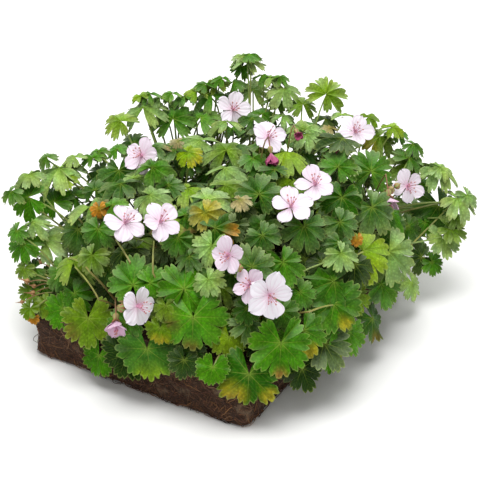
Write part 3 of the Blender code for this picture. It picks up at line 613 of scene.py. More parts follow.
def foot_places(crown):
    """Where petioles rise from a crown: a ring of places half way up it."""
    turns = [2 * math.pi * foot / FEET for foot in range(FEET)]
    ring = [Vector((math.cos(turn), math.sin(turn), 0)) * FEET_RING_RADIUS for turn in turns]
    return [crown + out + Vector((0, 0, CROWN_HEIGHT / 2)) for out in ring]


def neck_of(place, droop):
    """Where a petiole ends, just below its blade."""
    return place @ Vector((PETIOLE_JOINS_AT, 0, -droop * PETIOLE_JOINS_AT - PETIOLE_NECK))


def packed_petiole(points, crown, place, droop):
    """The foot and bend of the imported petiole: the pair whose tube has its corners in the node's mesh."""
    tree = kdtree.KDTree(len(points))
    for index, point in enumerate(points):
        tree.insert(point, index)
    tree.balance()
    neck = neck_of(place, droop)

    def miss(pair):
        start, turn = pair
        middles = bezier(start, petiole_bend(start, neck, turn), neck, 3)[1:3]
        return sum(abs(near[2] - PETIOLE_RADIUS) for middle in middles for near in tree.find_n(middle, 3))

    pairs = [(start, turn) for start in foot_places(crown) for turn in PETIOLE_BENDS]
    start, turn = min(pairs, key=miss)
    return start, petiole_bend(start, neck, turn), neck


def leaf_outline(sides, hang, chance):
    """The rim from one side of the stalk to the other: each point's angle, its share of the reach, how far
    it lies off its lobe's middle line, and how far its lobe is tilted."""
    teeth = np.array(TEETH)
    notch = chance.uniform(*NOTCH_AT) / teeth[-1, 1]
    rim = []
    for lobe in range(-3, 4):
        long = LOBE_LENGTHS[abs(lobe)] * chance.uniform(*LOBE_VARIES)
        tilt = chance.uniform(*LOBE_TILT)
        lean = chance.uniform(*LOBE_LEAN)
        cut = chance.uniform(*TOOTH_CUT)
        for aside in sides if lobe < 3 else (*sides, HALF_LOBE):
            off = abs(aside)
            share = np.interp(off, teeth[:, 0], teeth[:, 1])
            if off < 21:
                share = 1 - (1 - share) * cut
            else:
                share *= notch if off > 22.5 else 0.5 + notch / 2
            share *= 1 - LEVEL_CUT * hang * max(off - LEVEL_CUT_FROM, 0) / (HALF_LOBE - LEVEL_CUT_FROM)
            inner = 1 - off / HALF_LOBE
            varied = long * share * (1 + chance.uniform(-TOOTH_VARIES, TOOTH_VARIES) * inner)
            rim.append((lobe * LOBE_TURN + aside + lean * inner, varied, off / HALF_LOBE, tilt * inner))
    angles, lengths, asides, tilts = np.array(rim).T
    return np.radians(angles), lengths, asides, tilts


def rim_walls(border, total):
    """The thin wall between the rims of two sheets, the second of them total points on."""
    border = np.array(border)
    onward = np.roll(border, -1)
    return np.concatenate(
        (
            np.column_stack((border, border + total, onward + total)),
            np.column_stack((border, onward + total, onward)),
        )
    )


def leaf_blade(pile, place, reach, droop, tone, turned, chance, fine=True):
    """One leaf: an upper and a lower sheet that meet in a thin wall round the rim."""
    rings = FINE_RINGS if fine else COARSE_RINGS
    # A leaf that lies level hangs its lobes like an umbrella and is more deeply cut. One that faces outward
    # stays flatter.
    hang = min(max((place.col[2].z - LEVEL_FROM) / LEVEL_OVER, 0), 1)
    angles, lengths, asides, tilts = leaf_outline(FINE_SIDES if fine else COARSE_SIDES, hang, chance)
    pleat = chance.uniform(*PLEAT) + chance.uniform(*LEVEL_PLEAT) * hang
    curl = chance.uniform(*CURL) + chance.uniform(*LEVEL_CURL) * hang
    fold = chance.uniform(*FOLD)
    if place.translation.z < AGAINST_SLAB:
        # A low leaf hangs against the slab's side, so nothing of it bends back.
        fold, curl, tilts = abs(fold) * 0.3, min(curl, 0), np.abs(tilts) * 0.5
    waves = [
        (chance.uniform(*WAVE_SIZE), chance.choice(WAVE_COUNTS), chance.uniform(0, 6.3)) for _ in range(2)
    ]
    sheets = []
    for share in (0.02, *rings):
        r = share * lengths
        z = -droop * r + pleat * r * (asides**1.7 - 0.3) * (1 - 0.35 * r) + tilts * r - curl * r**3
        z += fold * r * np.abs(np.sin(angles))
        z += sum(size * r * r * np.sin(count * angles + phase) for size, count, phase in waves) * 3
        sheets.append(np.column_stack((r * np.cos(angles), r * np.sin(angles), z, np.full(len(r), share))))
    upper = np.concatenate(sheets)
    count = len(angles)
    faces = []
    for ring in range(len(rings)):
        a = ring * count + np.arange(count - 1)
        faces += [np.column_stack((a, a + count, a + count + 1)), np.column_stack((a, a + count + 1, a + 1))]
    faces = np.concatenate(faces)
    total = len(upper)
    outer = len(rings) * count
    border = [*range(outer, outer + count)]
    border += [ring * count + count - 1 for ring in range(len(rings) - 1, -1, -1)]
    border += [*range(count - 2, -1, -1)]
    border += [ring * count for ring in range(1, len(rings))]
    lower = upper.copy()
    lower[:, 2] -= LEAF_THICKNESS / reach
    local = np.concatenate((upper, lower))
    tone = tone * chance.uniform(0.86, 1.14)
    rim = local[:, 3:]
    # Painted sheen: a level leaf paler towards its rim, and every leaf a deeper green towards its hub
    paint = tone + (SHEEN - tone) * hang * chance.uniform(0.0, 0.22) * RIM_SHEEN * rim**1.5
    paint = paint * (1 - (1 - rim) * HUB_GREEN)
    for spot, colour, size in turned:
        near = np.linalg.norm(local[:, :2] * reach - spot, axis=1) / (size * MM)
        weight = np.clip(1.5 - near, 0, 0.8)[:, None] * np.clip(local[:, 3:] * 1.6 - 0.5, 0, 1)
        paint = paint * (1 - weight) + colour * weight
    world = (local[:, :3] * reach) @ np.array(place.to_3x3()).T + np.array(place.translation)
    under = np.concatenate((np.zeros(total), np.ones(total)))
    where = np.column_stack((local[:, 0], local[:, 1], local[:, 3]))
    sheets_and_rim = np.concatenate((faces, rim_walls(border, total), faces[:, ::-1] + total))
    pile.put(world, sheets_and_rim, paint, where, under)


def graded_tube(pile, path, radii, foot, tip, finish=1, sides=6):
    """A stalk that turns from one colour at its foot to another at its tip."""
    shares = np.repeat(np.linspace(0, 1, len(path)), sides)[:, None]
    points, faces = tube(path, radii, sides)
    pile.put(points, faces, foot * (1 - shares) + tip * shares, finish=finish)


def petiole(pile, start, bend, neck, joint, redness, steps=9):
    """A round stalk, red-brown at its foot and green under its blade."""
    path = bezier(start, bend, neck, steps) + [joint]
    radii = np.linspace(PETIOLE_RADIUS, 0.62 * MM, len(path))
    radii[-1] = 0.35 * MM
    foot = linear("7c4030") * redness + linear("6d8a3a") * (1 - redness)
    graded_tube(pile, path, radii, foot, linear("86a24a"))


def crown_stock(pile, crown, chance):
    """The knobbly stock that the petioles of a shoot rise from, with stubs of old ones."""
    heights = np.array([-1.5, 1, 3.2, 5.4, 7.4, 8.8]) * MM
    radii = np.array([5.0, 5.4, 5.0, 4.4, 3.6, 1.6]) * MM
    path = [crown + Vector((0, 0, rise)) for rise in heights]
    points, faces = tube(path, radii, 12)
    points += np.array([[chance.uniform(-0.4, 0.4) * MM for _ in range(3)] for _ in points])
    pile.put(points, faces, linear("5a3c28"), finish=1)
    for stub in range(5):
        turn = chance.uniform(0, 2 * math.pi)
        out = Vector((math.cos(turn), math.sin(turn), 0))
        foot = crown + out * 4.2 * MM + Vector((0, 0, 2 * MM))
        tip = foot + out * chance.uniform(3, 8) * MM + Vector((0, 0, chance.uniform(4, 12) * MM))
        path = [foot, foot.lerp(tip, 0.5) + Vector((0, 0, MM)), tip]
        points, faces = tube(path, [0.9 * MM, 0.8 * MM, 0.5 * MM], 5)
        pile.put(points, faces, linear("8b6a45") * chance.uniform(0.6, 1.2), finish=1)


# A packed leaf is the photograph's own where its hub lies this near to one there, in pixels
SAME_LEAF = 1.5
# How many leaves in 24 have each tone where the photograph doesn't show them, and what share have turned
# somewhere
UNSEEN_TONES = {"deep": 4, "mid": 6, "bright": 4, "lime": 2, "olive": 3, "pale": 2, "dark": 3}
UNSEEN_TURNED = 0.08


def on_plane(pixel, origin, normal):
    """Where the line of sight through a pixel meets a plane."""
    line = sight(pixel)
    return EYE + line * ((origin - EYE).dot(normal) / line.dot(normal))


def spot_on_leaf(place, pixel):
    """The place on a leaf that a pixel shows, in the leaf's own metres."""
    meeting = on_plane(pixel, place.translation, place.to_3x3().col[2])
    return np.array((place.inverted() @ meeting).xy)


def looks_of(place, chance):
    """The leaf's tone and turned places: the photograph's own where it shows this leaf."""
    pixel = Vector(pixel_of(place.translation))
    for tone, hubs in PHOTO_TONES.items():
        hub = min(hubs, key=lambda hub: (Vector(hub) - pixel).length)
        if (Vector(hub) - pixel).length < SAME_LEAF:
            here = [(spot, TONES[name], size) for turned_hub, spot, name, size in TURNED if turned_hub == hub]
            return TONES[tone], [(spot_on_leaf(place, spot), colour, size) for spot, colour, size in here]
    tone = chance.choices(tuple(UNSEEN_TONES), tuple(UNSEEN_TONES.values()))[0]
    turned = []
    if chance.random() < UNSEEN_TURNED:
        turn = chance.uniform(-2, 2)
        spot = np.array((math.cos(turn), math.sin(turn))) * 16 * MM
        turned = [(spot, TONES[chance.choice(("yellow", "brown", "red"))], chance.uniform(4, 8))]
    return TONES[tone], turned


# The rounded outside of the foliage, a superellipsoid
DOME_CENTRE = Vector((0.010, 0.015, 0.040))
DOME_HALF = Vector((0.132, 0.150, 0.108))
DOME_POWER = 2.6
CLEAR_OF_SLAB = 6 * MM
# Where a line of sight is tried for meeting it: from how far off, in what steps and how many
NEAREST_SIGHT = 0.95
SIGHT_STEP = 0.0015
SIGHT_STEPS = 340


def dome_level(point):
    """1 on the outside of the foliage and less within it."""
    offset = point - DOME_CENTRE
    return sum((abs(offset[i]) / DOME_HALF[i]) ** DOME_POWER for i in range(3))


def outward(point):
    """The direction straight out of the foliage at a point."""
    offset = point - DOME_CENTRE
    slope = [
        math.copysign((abs(offset[i]) / DOME_HALF[i]) ** (DOME_POWER - 1) / DOME_HALF[i], offset[i])
        for i in range(3)
    ]
    return Vector(slope).normalized()


def along_sight(pixel):
    """Points along the line of sight through a pixel, from the camera on."""
    line = sight(pixel)
    return [EYE + line * (NEAREST_SIGHT + SIGHT_STEP * step) for step in range(SIGHT_STEPS)]


def on_dome(pixel, deeper=0.0):
    """Where the line of sight meets the outside of the foliage, or where it passes nearest to it."""
    points = along_sight(pixel)
    first = next((point for point in points if dome_level(point) <= 1), None)
    return (first or min(points, key=dome_level)) + sight(pixel) * deeper


def on_outside(pixel, deeper=0.0):
    """As on_dome, but before the slab too where its corners stand out of the dome."""
    for point in along_sight(pixel):
        if dome_level(point) <= 1 or (
            abs(point.x) < slab_high.x + CLEAR_OF_SLAB
            and abs(point.y) < slab_high.y + CLEAR_OF_SLAB
            and point.z < slab_high.z + CLEAR_OF_SLAB
        ):
            return point + sight(pixel) * deeper
    return on_dome(pixel, deeper)


def frame_at(origin, along, normal):
    """A matrix whose X runs along the middle lobe and whose Z stands out of the upper face."""
    z = normal.normalized()
    x = (along - z * along.dot(z)).normalized()
    turned = Matrix((x, z.cross(x), z)).transposed().to_4x4()
    return Matrix.Translation(origin) @ turned


# A flower: its middle and where its stamens point in the photograph, its width in mm, how far its petals
# open in degrees, its stem, how much deeper it lies in mm, and how pink it is
FLOWERS = (
    ((269, 295), (273, 300), 35, 80, 1, -2, 0.0),
    ((250, 285), (246, 284), 28, 72, 1, 7, 0.25),
    ((137, 306), (147, 308), 31, 76, 2, 0, 0.05),
    ((116, 321), (117, 333), 25, 34, 2, 3, 0.55),
    ((229, 255), (223, 257), 28, 68, 3, 0, 0.22),
    ((125, 223), (131, 216), 33, 80, 4, 0, 0.14),
    ((160, 222), (166, 216), 31, 80, 4, 0, 0.16),
    ((291, 207), (291, 199), 33, 80, 5, 0, 0.14),
    ((315, 185), (315, 178), 32, 80, 5, 0, 0.18),
    ((407, 186), (411, 188), 30, 76, 6, -2, 0.10),
    ((389, 197), (390, 209), 25, 34, 6, 0, 0.55),
    ((142, 156), (137, 154), 31, 72, 7, -2, 0.22),
    ((233, 110), (236, 108), 31, 82, 8, -2, 0.08),
    ((268, 138), (272, 133), 31, 78, 9, -2, 0.10),
    ((355, 132), (357, 128), 33, 80, 10, -2, 0.10),
)
# How far outside the foliage flowers stand, and the room kept free round each, in pixels
FLOWER_DEPTH = -13 * MM
FLOWER_SPACE = 8


def hides_a_flower(place, reach):
    """Whether a leaf would stand before a flower as the photograph sees it."""
    x, y = pixel_of(place.translation)
    near = (reach / MM + FLOWER_SPACE) ** 2
    return any((x - flower[0][0]) ** 2 + (y - flower[0][1]) ** 2 < near for flower in FLOWERS)


# A packed leaf whose hub stands this close before a flower's middle, in pixels, is left off
HIDING = 6


def before_a_flower(hub):
    """Whether a leaf's hub stands before a flower's middle as the photograph sees it."""
    for middle, _, _, _, _, deep, _ in FLOWERS:
        flower = on_dome(middle, FLOWER_DEPTH + deep * MM)
        if math.dist(pixel_of(hub), middle) < HIDING and (hub - EYE).length < (flower - EYE).length:
            return True
    return False


# A leaf, a seed head or a faded flower grows from the soil at this share of its distance from the middle
PULLED_IN = 0.86


def shoot_under(point):
    """The shoot whose crown lies best below a point."""
    return min(shoots, key=lambda name: (crowns[name].xy - point.xy * PULLED_IN).length)


def nearest_foot(name, point):
    """Where on a shoot's crown a stalk for a point rises."""
    return min(foot_places(crowns[name]), key=lambda foot: (foot.xy - point.xy).length)


def joint_of(place):
    """Where a petiole enters the underside of its blade."""
    return place @ Vector((1.0 * MM, 0, -0.5 * MM))


chance = random.Random(71)
shoots = sorted(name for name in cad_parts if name.startswith("shoot_"))
shoot_piles = {}
crowns = {}
plates = []
for name in shoots:
    pile = shoot_piles[name] = Pile()
    points, found = plates_of(name)
    plates += found
    foot_ring = points[np.abs(points[:, 2] - slab_high.z - SEAT_GAP) < 0.02 * MM]
    crowns[name] = Vector(foot_ring.mean(axis=0))
    crown_stock(pile, crowns[name], chance)
    for place, reach, droop in found:
        if before_a_flower(place.translation):
            continue
        tone, turned = looks_of(place, chance)
        leaf_blade(pile, place, reach, droop, tone, turned, chance)
        start, bend, neck = packed_petiole(points, crowns[name], place, droop)
        petiole(pile, start, bend, neck, joint_of(place), chance.uniform(0.1, 0.9))

# A geranium leaf: satin on top, with pale sunken veins that fan out into the lobes, a pale thin rim and a
# duller, greyer underside. The veins are drawn twice as wide as the real ones, which would not show.
VEIN_WIDTH = 0.026
SIDE_VEIN_SPACING = 0.135
leaf_skin, tree, shader = finish("satin_geranium_leaf")
paint = add(tree, "Attribute", attribute_name="paint").outputs["Color"]
where = add(tree, "Attribute", attribute_name="place").outputs["Vector"]
under = add(tree, "Attribute", attribute_name="under").outputs["Fac"]
spot = add(tree, "TexCoord").outputs["Object"]
split = add(tree, "SeparateXYZ", {0: where})
x, y, ring = split.outputs
turn = add(tree, "Math", {0: y, 1: x}, operation="ARCTAN2").outputs[0]
turns = add(tree, "Math", {0: turn, 1: math.radians(LOBE_TURN)}, operation="DIVIDE").outputs[0]
nearest = add(tree, "Math", {0: turns}, operation="ROUND").outputs[0]
aside = add(tree, "Math", {0: turns, 1: nearest}, operation="SUBTRACT").outputs[0]
aside = add(tree, "Math", {0: aside, 1: math.radians(LOBE_TURN)}, operation="MULTIPLY").outputs[0]
flat = add(tree, "CombineXYZ", {0: x, 1: y}).outputs[0]
radius = add(tree, "VectorMath", {0: flat}, operation="LENGTH").outputs["Value"]
sine = add(tree, "Math", {0: aside}, operation="SINE").outputs[0]
across = add(tree, "Math", {0: sine, 1: radius}, operation="MULTIPLY").outputs[0]
across = add(tree, "Math", {0: across}, operation="ABSOLUTE").outputs[0]
cosine = add(tree, "Math", {0: aside}, operation="COSINE").outputs[0]
along = add(tree, "Math", {0: cosine, 1: radius}, operation="MULTIPLY").outputs[0]
taper = add(tree, "MapRange", {"Value": radius, "To Min": VEIN_WIDTH, "To Max": VEIN_WIDTH * 0.3}).outputs[0]
main = add(tree, "Math", {0: across, 1: taper}, operation="DIVIDE").outputs[0]
main = add(
    tree, "MapRange", {"Value": main, "From Min": 0.2, "From Max": 1, "To Min": 1, "To Max": 0},
    interpolation_type="SMOOTHSTEP",
).outputs[0]
chevron = add(tree, "Math", {0: across, 1: -1.15, 2: along}, operation="MULTIPLY_ADD").outputs[0]
chevron = add(tree, "Math", {0: chevron, 1: SIDE_VEIN_SPACING}, operation="DIVIDE").outputs[0]
chevron = add(tree, "Math", {0: chevron}, operation="FRACT").outputs[0]
chevron = add(tree, "Math", {0: chevron, 1: 0.5}, operation="SUBTRACT").outputs[0]
chevron = add(tree, "Math", {0: chevron}, operation="ABSOLUTE").outputs[0]
side = add(
    tree, "MapRange", {"Value": chevron, "From Min": 0.30, "From Max": 0.5, "To Max": 0.14},
    interpolation_type="SMOOTHSTEP",
).outputs[0]
fade = add(
    tree, "MapRange", {"Value": radius, "From Min": 0.15, "From Max": 0.95, "To Min": 0.6, "To Max": 0.06}
).outputs[0]
seen_main = add(tree, "Math", {0: main, 1: fade}, operation="MULTIPLY").outputs[0]
seen_veins = add(tree, "Math", {0: seen_main, 1: side}, operation="MAXIMUM").outputs[0]
veins = add(tree, "Math", {0: main, 1: side}, operation="MAXIMUM").outputs[0]
hub_pale = add(
    tree, "MapRange", {"Value": radius, "From Min": 0.03, "From Max": 0.22, "To Min": 0.5, "To Max": 0}
).outputs[0]
rim_pale = add(
    tree, "MapRange", {"Value": ring, "From Min": 0.93, "From Max": 1, "To Max": 0.42}
).outputs[0]
patches = add(tree, "TexNoise", {"Vector": spot, "Scale": 1 / (9 * MM), "Detail": 3}).outputs[0]
patches = add(
    tree, "MapRange", {"Value": patches, "From Min": 0.25, "From Max": 0.75, "To Min": 0.62, "To Max": 1.38}
).outputs[0]
cells = add(tree, "TexVoronoi", {"Vector": spot, "Scale": 1 / (2.2 * MM)}, feature="F1").outputs["Distance"]
net = add(
    tree, "MapRange", {"Value": cells, "From Min": 0.1, "From Max": 0.6, "To Min": 1.14, "To Max": 0.78}
).outputs[0]
patches_net = add(tree, "Math", {0: patches, 1: net}, operation="MULTIPLY").outputs[0]
skin = add(tree, "VectorMath", {0: paint, 3: patches_net}, operation="SCALE").outputs[0]
warm = add(tree, "TexNoise", {"Vector": spot, "Scale": 1 / (15 * MM), "Detail": 2}).outputs[0]
warm = add(
    tree, "MapRange", {"Value": warm, "From Min": 0.42, "From Max": 0.68, "To Max": 0.6}
).outputs[0]
yellowed = add(tree, "VectorMath", {0: skin, 1: (1.35, 1.08, 0.6)}, operation="MULTIPLY").outputs[0]
skin = add(tree, "Mix", {0: warm, 6: skin, 7: yellowed}, data_type="RGBA").outputs[2]
pale_vein = add(tree, "Mix", {0: 0.5, 6: skin, 7: (*linear("a9c04e"), 1)}, data_type="RGBA").outputs[2]
skin = add(tree, "Mix", {0: seen_veins, 6: skin, 7: pale_vein}, data_type="RGBA").outputs[2]
skin = add(tree, "Mix", {0: hub_pale, 6: skin, 7: pale_vein}, data_type="RGBA").outputs[2]
skin = add(tree, "Mix", {0: rim_pale, 6: skin, 7: (*linear("a8b860"), 1)}, data_type="RGBA").outputs[2]
# The sky's pale sheen on the parts that lie level
lie = add(tree, "SeparateXYZ", {0: add(tree, "NewGeometry").outputs["Normal"]}).outputs["Z"]
sheen = add(
    tree, "MapRange", {"Value": lie, "From Min": 0.55, "From Max": 1.0, "To Max": 0.16},
    interpolation_type="SMOOTHSTEP",
).outputs[0]
sheen = add(tree, "Math", {0: sheen, 1: ring}, operation="MULTIPLY").outputs[0]
skin = add(tree, "Mix", {0: sheen, 6: skin, 7: (*linear("bccba6"), 1)}, data_type="RGBA").outputs[2]
greyed = add(tree, "Mix", {0: 0.4, 6: skin, 7: (*linear("8ea468"), 1)}, data_type="RGBA").outputs[2]
skin = add(tree, "Mix", {0: under, 6: skin, 7: greyed}, data_type="RGBA").outputs[2]
sunk = add(tree, "Math", {0: veins, 1: -0.9, 2: cells}, operation="MULTIPLY_ADD").outputs[0]
bump = add(tree, "Bump", {"Height": sunk, "Strength": 0.8, "Distance": 0.6 * MM})
gloss = add(
    tree, "MapRange", {"Value": patches, "From Min": 0.7, "From Max": 1.32, "To Min": 0.52, "To Max": 0.38}
)
tree.links.new(skin, shader.inputs["Base Color"])
tree.links.new(gloss.outputs[0], shader.inputs["Roughness"])
shader.inputs["Specular IOR Level"].default_value = 0.06
tree.links.new(bump.outputs[0], shader.inputs["Normal"])

# A petiole: thin, green to red-brown, with a faint down that softens its gloss
stalk_skin, tree, shader = finish("downy_green_stalk")
paint = add(tree, "Attribute", attribute_name="paint").outputs["Color"]
spot = add(tree, "TexCoord").outputs["Object"]
mottle = add(tree, "TexNoise", {"Vector": spot, "Scale": 1 / (6 * MM), "Detail": 3}).outputs[0]
mottle = add(
    tree, "MapRange", {"Value": mottle, "From Min": 0.3, "From Max": 0.7, "To Min": 0.75, "To Max": 1.2}
).outputs[0]
colour = add(tree, "VectorMath", {0: paint, 3: mottle}, operation="SCALE").outputs[0]
down = add(tree, "TexNoise", {"Vector": spot, "Scale": 1 / (0.8 * MM), "Detail": 2}).outputs[0]
bump = add(tree, "Bump", {"Height": down, "Strength": 0.3, "Distance": 0.15 * MM})
tree.links.new(colour, shader.inputs["Base Color"])
tree.links.new(bump.outputs[0], shader.inputs["Normal"])
shader.inputs["Roughness"].default_value = 0.5

# While room is looked for, a disc of this share of its reach stands in for each leaf. Two leaves whose hubs
# are nearer than this count as touching.
DISC_SHARE = 0.8
NEAREST_HUBS = 7.8 * MM


def plate(place, reach):
    """A simple disc in a leaf's place."""
    radius = reach * DISC_SHARE
    turns = np.arange(8) * math.pi / 4
    rim = [place @ Vector((math.cos(turn) * radius, math.sin(turn) * radius, 0)) for turn in turns]
    return rim + [place.translation], [(8, i, (i + 1) % 8) for i in range(8)]


# The discs of all leaves so far: middle, reach and tree
discs = [
    (place.translation.copy(), reach, BVHTree.FromPolygons(*plate(place, reach)))
    for place, reach, _ in plates
]


def clear_of_others(place, reach):
    """The tree of a leaf's disc where it keeps clear of all others, and nothing where it doesn't."""
    tree = BVHTree.FromPolygons(*plate(place, reach))
    for middle, other_reach, other in discs:
        gap = (middle - place.translation).length
        if gap < NEAREST_HUBS or (gap < reach + other_reach and tree.overlap(other)):
            return None
    return tree


def grow_inner(place, reach, tone, fine):
    """Adds a leaf that only this scene has, with a petiole from the nearest crown."""
    hub = place.translation
    name = shoot_under(hub)
    pile = shoot_piles[name]
    droop = chance.uniform(0.05, 0.3)
    leaf_blade(pile, place, reach, droop, tone, (), chance, fine)
    start = nearest_foot(name, hub)
    neck = neck_of(place, droop)
    bend = petiole_bend(start, neck, (0.5, chance.uniform(4, 14), chance.uniform(-12, 12)))
    petiole(pile, start, bend, neck, joint_of(place), chance.uniform(0.1, 0.9), 6)


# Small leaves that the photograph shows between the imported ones: hub, where the middle lobe points, reach
# in mm, how far it faces the camera, how much deeper than the outside it lies in mm, and its tone
SMALL_LEAVES = (
    ((63, 309), (50, 334), 20, 0.9, 0, "bright"),
    ((44, 288), (36, 302), 16, 0.7, 0, "mid"),
    ((47, 304), (41, 318), 13, 0.8, 0, "olive"),
    ((74, 293), (82, 305), 16, 0.7, 0, "mid"),
    ((56, 284), (62, 296), 14, 0.7, 0, "deep"),
    ((34, 318), (30, 326), 6, 0.9, 0, "orange"),
    ((249, 54), (263, 52), 12, 0.15, -2, "mid"),
    ((243, 55), (231, 57), 11, 0.15, -2, "pale"),
    ((252, 267), (262, 242), 20, 0.8, 0, "deep"),
    ((205, 212), (216, 227), 16, 0.8, -3, "yellow"),
    ((99, 208), (99, 216), 9, 0.9, -2, "orange"),
    ((103, 203), (108, 198), 8, 0.3, 0, "brown"),
    ((178, 141), (170, 143), 8, 0.5, -3, "pink"),
    ((357, 238), (357, 244), 7, 0.9, 0, "orange"),
    ((240, 199), (250, 200), 11, 0.4, -3, "pink"),
    ((141, 96), (136, 89), 10, 0.3, 0, "lime"),
    ((160, 98), (152, 90), 13, 0.2, 0, "pale"),
    ((185, 97), (178, 88), 14, 0.3, 2, "mid"),
    ((197, 92), (191, 83), 14, 0.4, 0, "lime"),
    ((217, 85), (214, 73), 12, 0.7, 0, "lime"),
    ((233, 82), (243, 74), 13, 0.3, 2, "mid"),
    ((229, 97), (238, 90), 14, 0.6, 8, "deep"),
    ((262, 114), (270, 104), 16, 0.5, 2, "mid"),
    ((282, 116), (290, 108), 14, 0.4, 0, "pale"),
    ((252, 118), (246, 110), 14, 0.5, 6, "deep"),
    ((274, 100), (284, 95), 13, 0.3, 3, "mid"),
    ((325, 119), (337, 112), 15, 0.4, 6, "dark"),
    ((343, 115), (352, 110), 14, 0.3, 0, "pale"),
    ((331, 128), (322, 122), 10, 0.3, 2, "pink"),
    ((368, 117), (378, 113), 12, 0.3, 0, "olive"),
    ((396, 132), (408, 126), 13, 0.3, 0, "mid"),
    ((30, 174), (18, 180), 16, 0.2, 0, "pale"),
    ((47, 157), (40, 152), 11, 0.5, 0, "mid"),
    ((35, 268), (25, 272), 13, 0.7, 0, "mid"),
    ((30, 291), (22, 298), 12, 0.7, 0, "olive"),
    ((95, 190), (100, 178), 15, 0.7, 8, "deep"),
    ((75, 196), (66, 190), 15, 0.7, 8, "mid"),
    ((66, 222), (74, 214), 14, 0.6, 10, "deep"),
    ((112, 205), (122, 200), 14, 0.5, 8, "bright"),
    ((135, 178), (146, 172), 15, 0.5, 6, "pale"),
    ((168, 185), (178, 178), 15, 0.4, 4, "deep"),
    ((185, 215), (196, 210), 15, 0.6, 8, "mid"),
    ((235, 225), (228, 238), 15, 0.8, 10, "dark"),
    ((262, 235), (270, 248), 16, 0.8, 10, "deep"),
    ((322, 262), (312, 272), 14, 0.8, 10, "dark"),
    ((300, 292), (308, 302), 15, 0.8, 10, "mid"),
    ((360, 205), (352, 214), 14, 0.7, 8, "deep"),
    ((395, 222), (402, 232), 14, 0.7, 8, "deep"),
    ((425, 222), (432, 232), 14, 0.7, 6, "mid"),
    ((455, 215), (466, 218), 12, 0.5, 0, "olive"),
    ((432, 262), (440, 270), 13, 0.7, 0, "mid"),
    ((150, 94), (141, 90), 12, 0.3, -2, "mid"),
    ((172, 93), (164, 88), 12, 0.3, -2, "bright"),
    ((205, 84), (198, 79), 12, 0.3, -2, "mid"),
    ((222, 78), (215, 73), 11, 0.4, -2, "mid"),
    ((262, 75), (271, 71), 12, 0.3, -2, "mid"),
    ((280, 77), (287, 74), 10, 0.3, -2, "mid"),
    ((392, 127), (402, 125), 12, 0.3, -2, "lime"),
    ((413, 144), (422, 148), 12, 0.4, -2, "mid"),
    ((440, 167), (450, 170), 13, 0.3, -2, "pale"),
    ((467, 195), (476, 206), 13, 0.5, 0, "pale"),
    ((75, 157), (64, 153), 12, 0.3, -2, "pale"),
    ((98, 151), (106, 146), 11, 0.3, -2, "mid"),
    ((11, 191), (3, 198), 12, 0.5, 0, "mid"),
    ((17, 230), (11, 239), 12, 0.7, 0, "mid"),
    ((24, 268), (18, 276), 11, 0.6, 0, "olive"),
    ((30, 308), (25, 319), 10, 0.6, 0, "olive"),
    ((243, 66), (236, 74), 12, 0.9, 0, "mid"),
)

# The depths tried for such a leaf in turn, in mm, and how far its face turns straight out of the foliage
SHIFTS = (0, -3, 3, -6, 6, -9, 9, 12, -4)
TURNED_OUT = 0.35

chance = random.Random(83)
for hub, aim, reach, face, deep, tone in SMALL_LEAVES:
    for shift in SHIFTS:
        spot = on_outside(hub, (deep + shift) * MM)
        normal = Vector((0, 0, 1 - face)) - VIEW_FORWARD * face + outward(spot) * TURNED_OUT
        normal.normalize()
        place = frame_at(spot, on_plane(aim, spot, normal) - spot, normal)
        tree_here = clear_of_others(place, reach * MM)
        if tree_here:
            break
    # Where there is no clear place, the leaf lies over its neighbour.
    tree_here = tree_here or BVHTree.FromPolygons(*plate(place, reach * MM))
    discs.append((spot, reach * MM, tree_here))
    grow_inner(place, reach * MM, TONES[tone], True)

# Stalks that cross open places in the photograph, each through three pixels
STALKS = (
    ((388, 268), (420, 236), (452, 204)),
    ((404, 268), (414, 262), (424, 257)),
    ((309, 312), (322, 307), (333, 305)),
    ((99, 300), (88, 282), (75, 267)),
    ((350, 260), (357, 255), (363, 252)),
    ((153, 273), (153, 257), (154, 241)),
    ((90, 272), (80, 262), (68, 258)),
    ((130, 262), (123, 250), (116, 240)),
)
for pixels in STALKS:
    low, middle, high = (on_dome(pixel, 0.5 * MM) for pixel in pixels)
    name = shoot_under(low)
    start = nearest_foot(name, low)
    path = bezier(start, start.lerp(low, 0.5) + Vector((0, 0, 6 * MM)), low, 6)
    path += bezier(low, middle * 2 - (low + high) / 2, high, 6)[1:]
    radii = np.linspace(0.9, 0.6, len(path)) * MM
    graded_tube(shoot_piles[name], path, radii, linear("8a6a40"), linear("98a24e"))
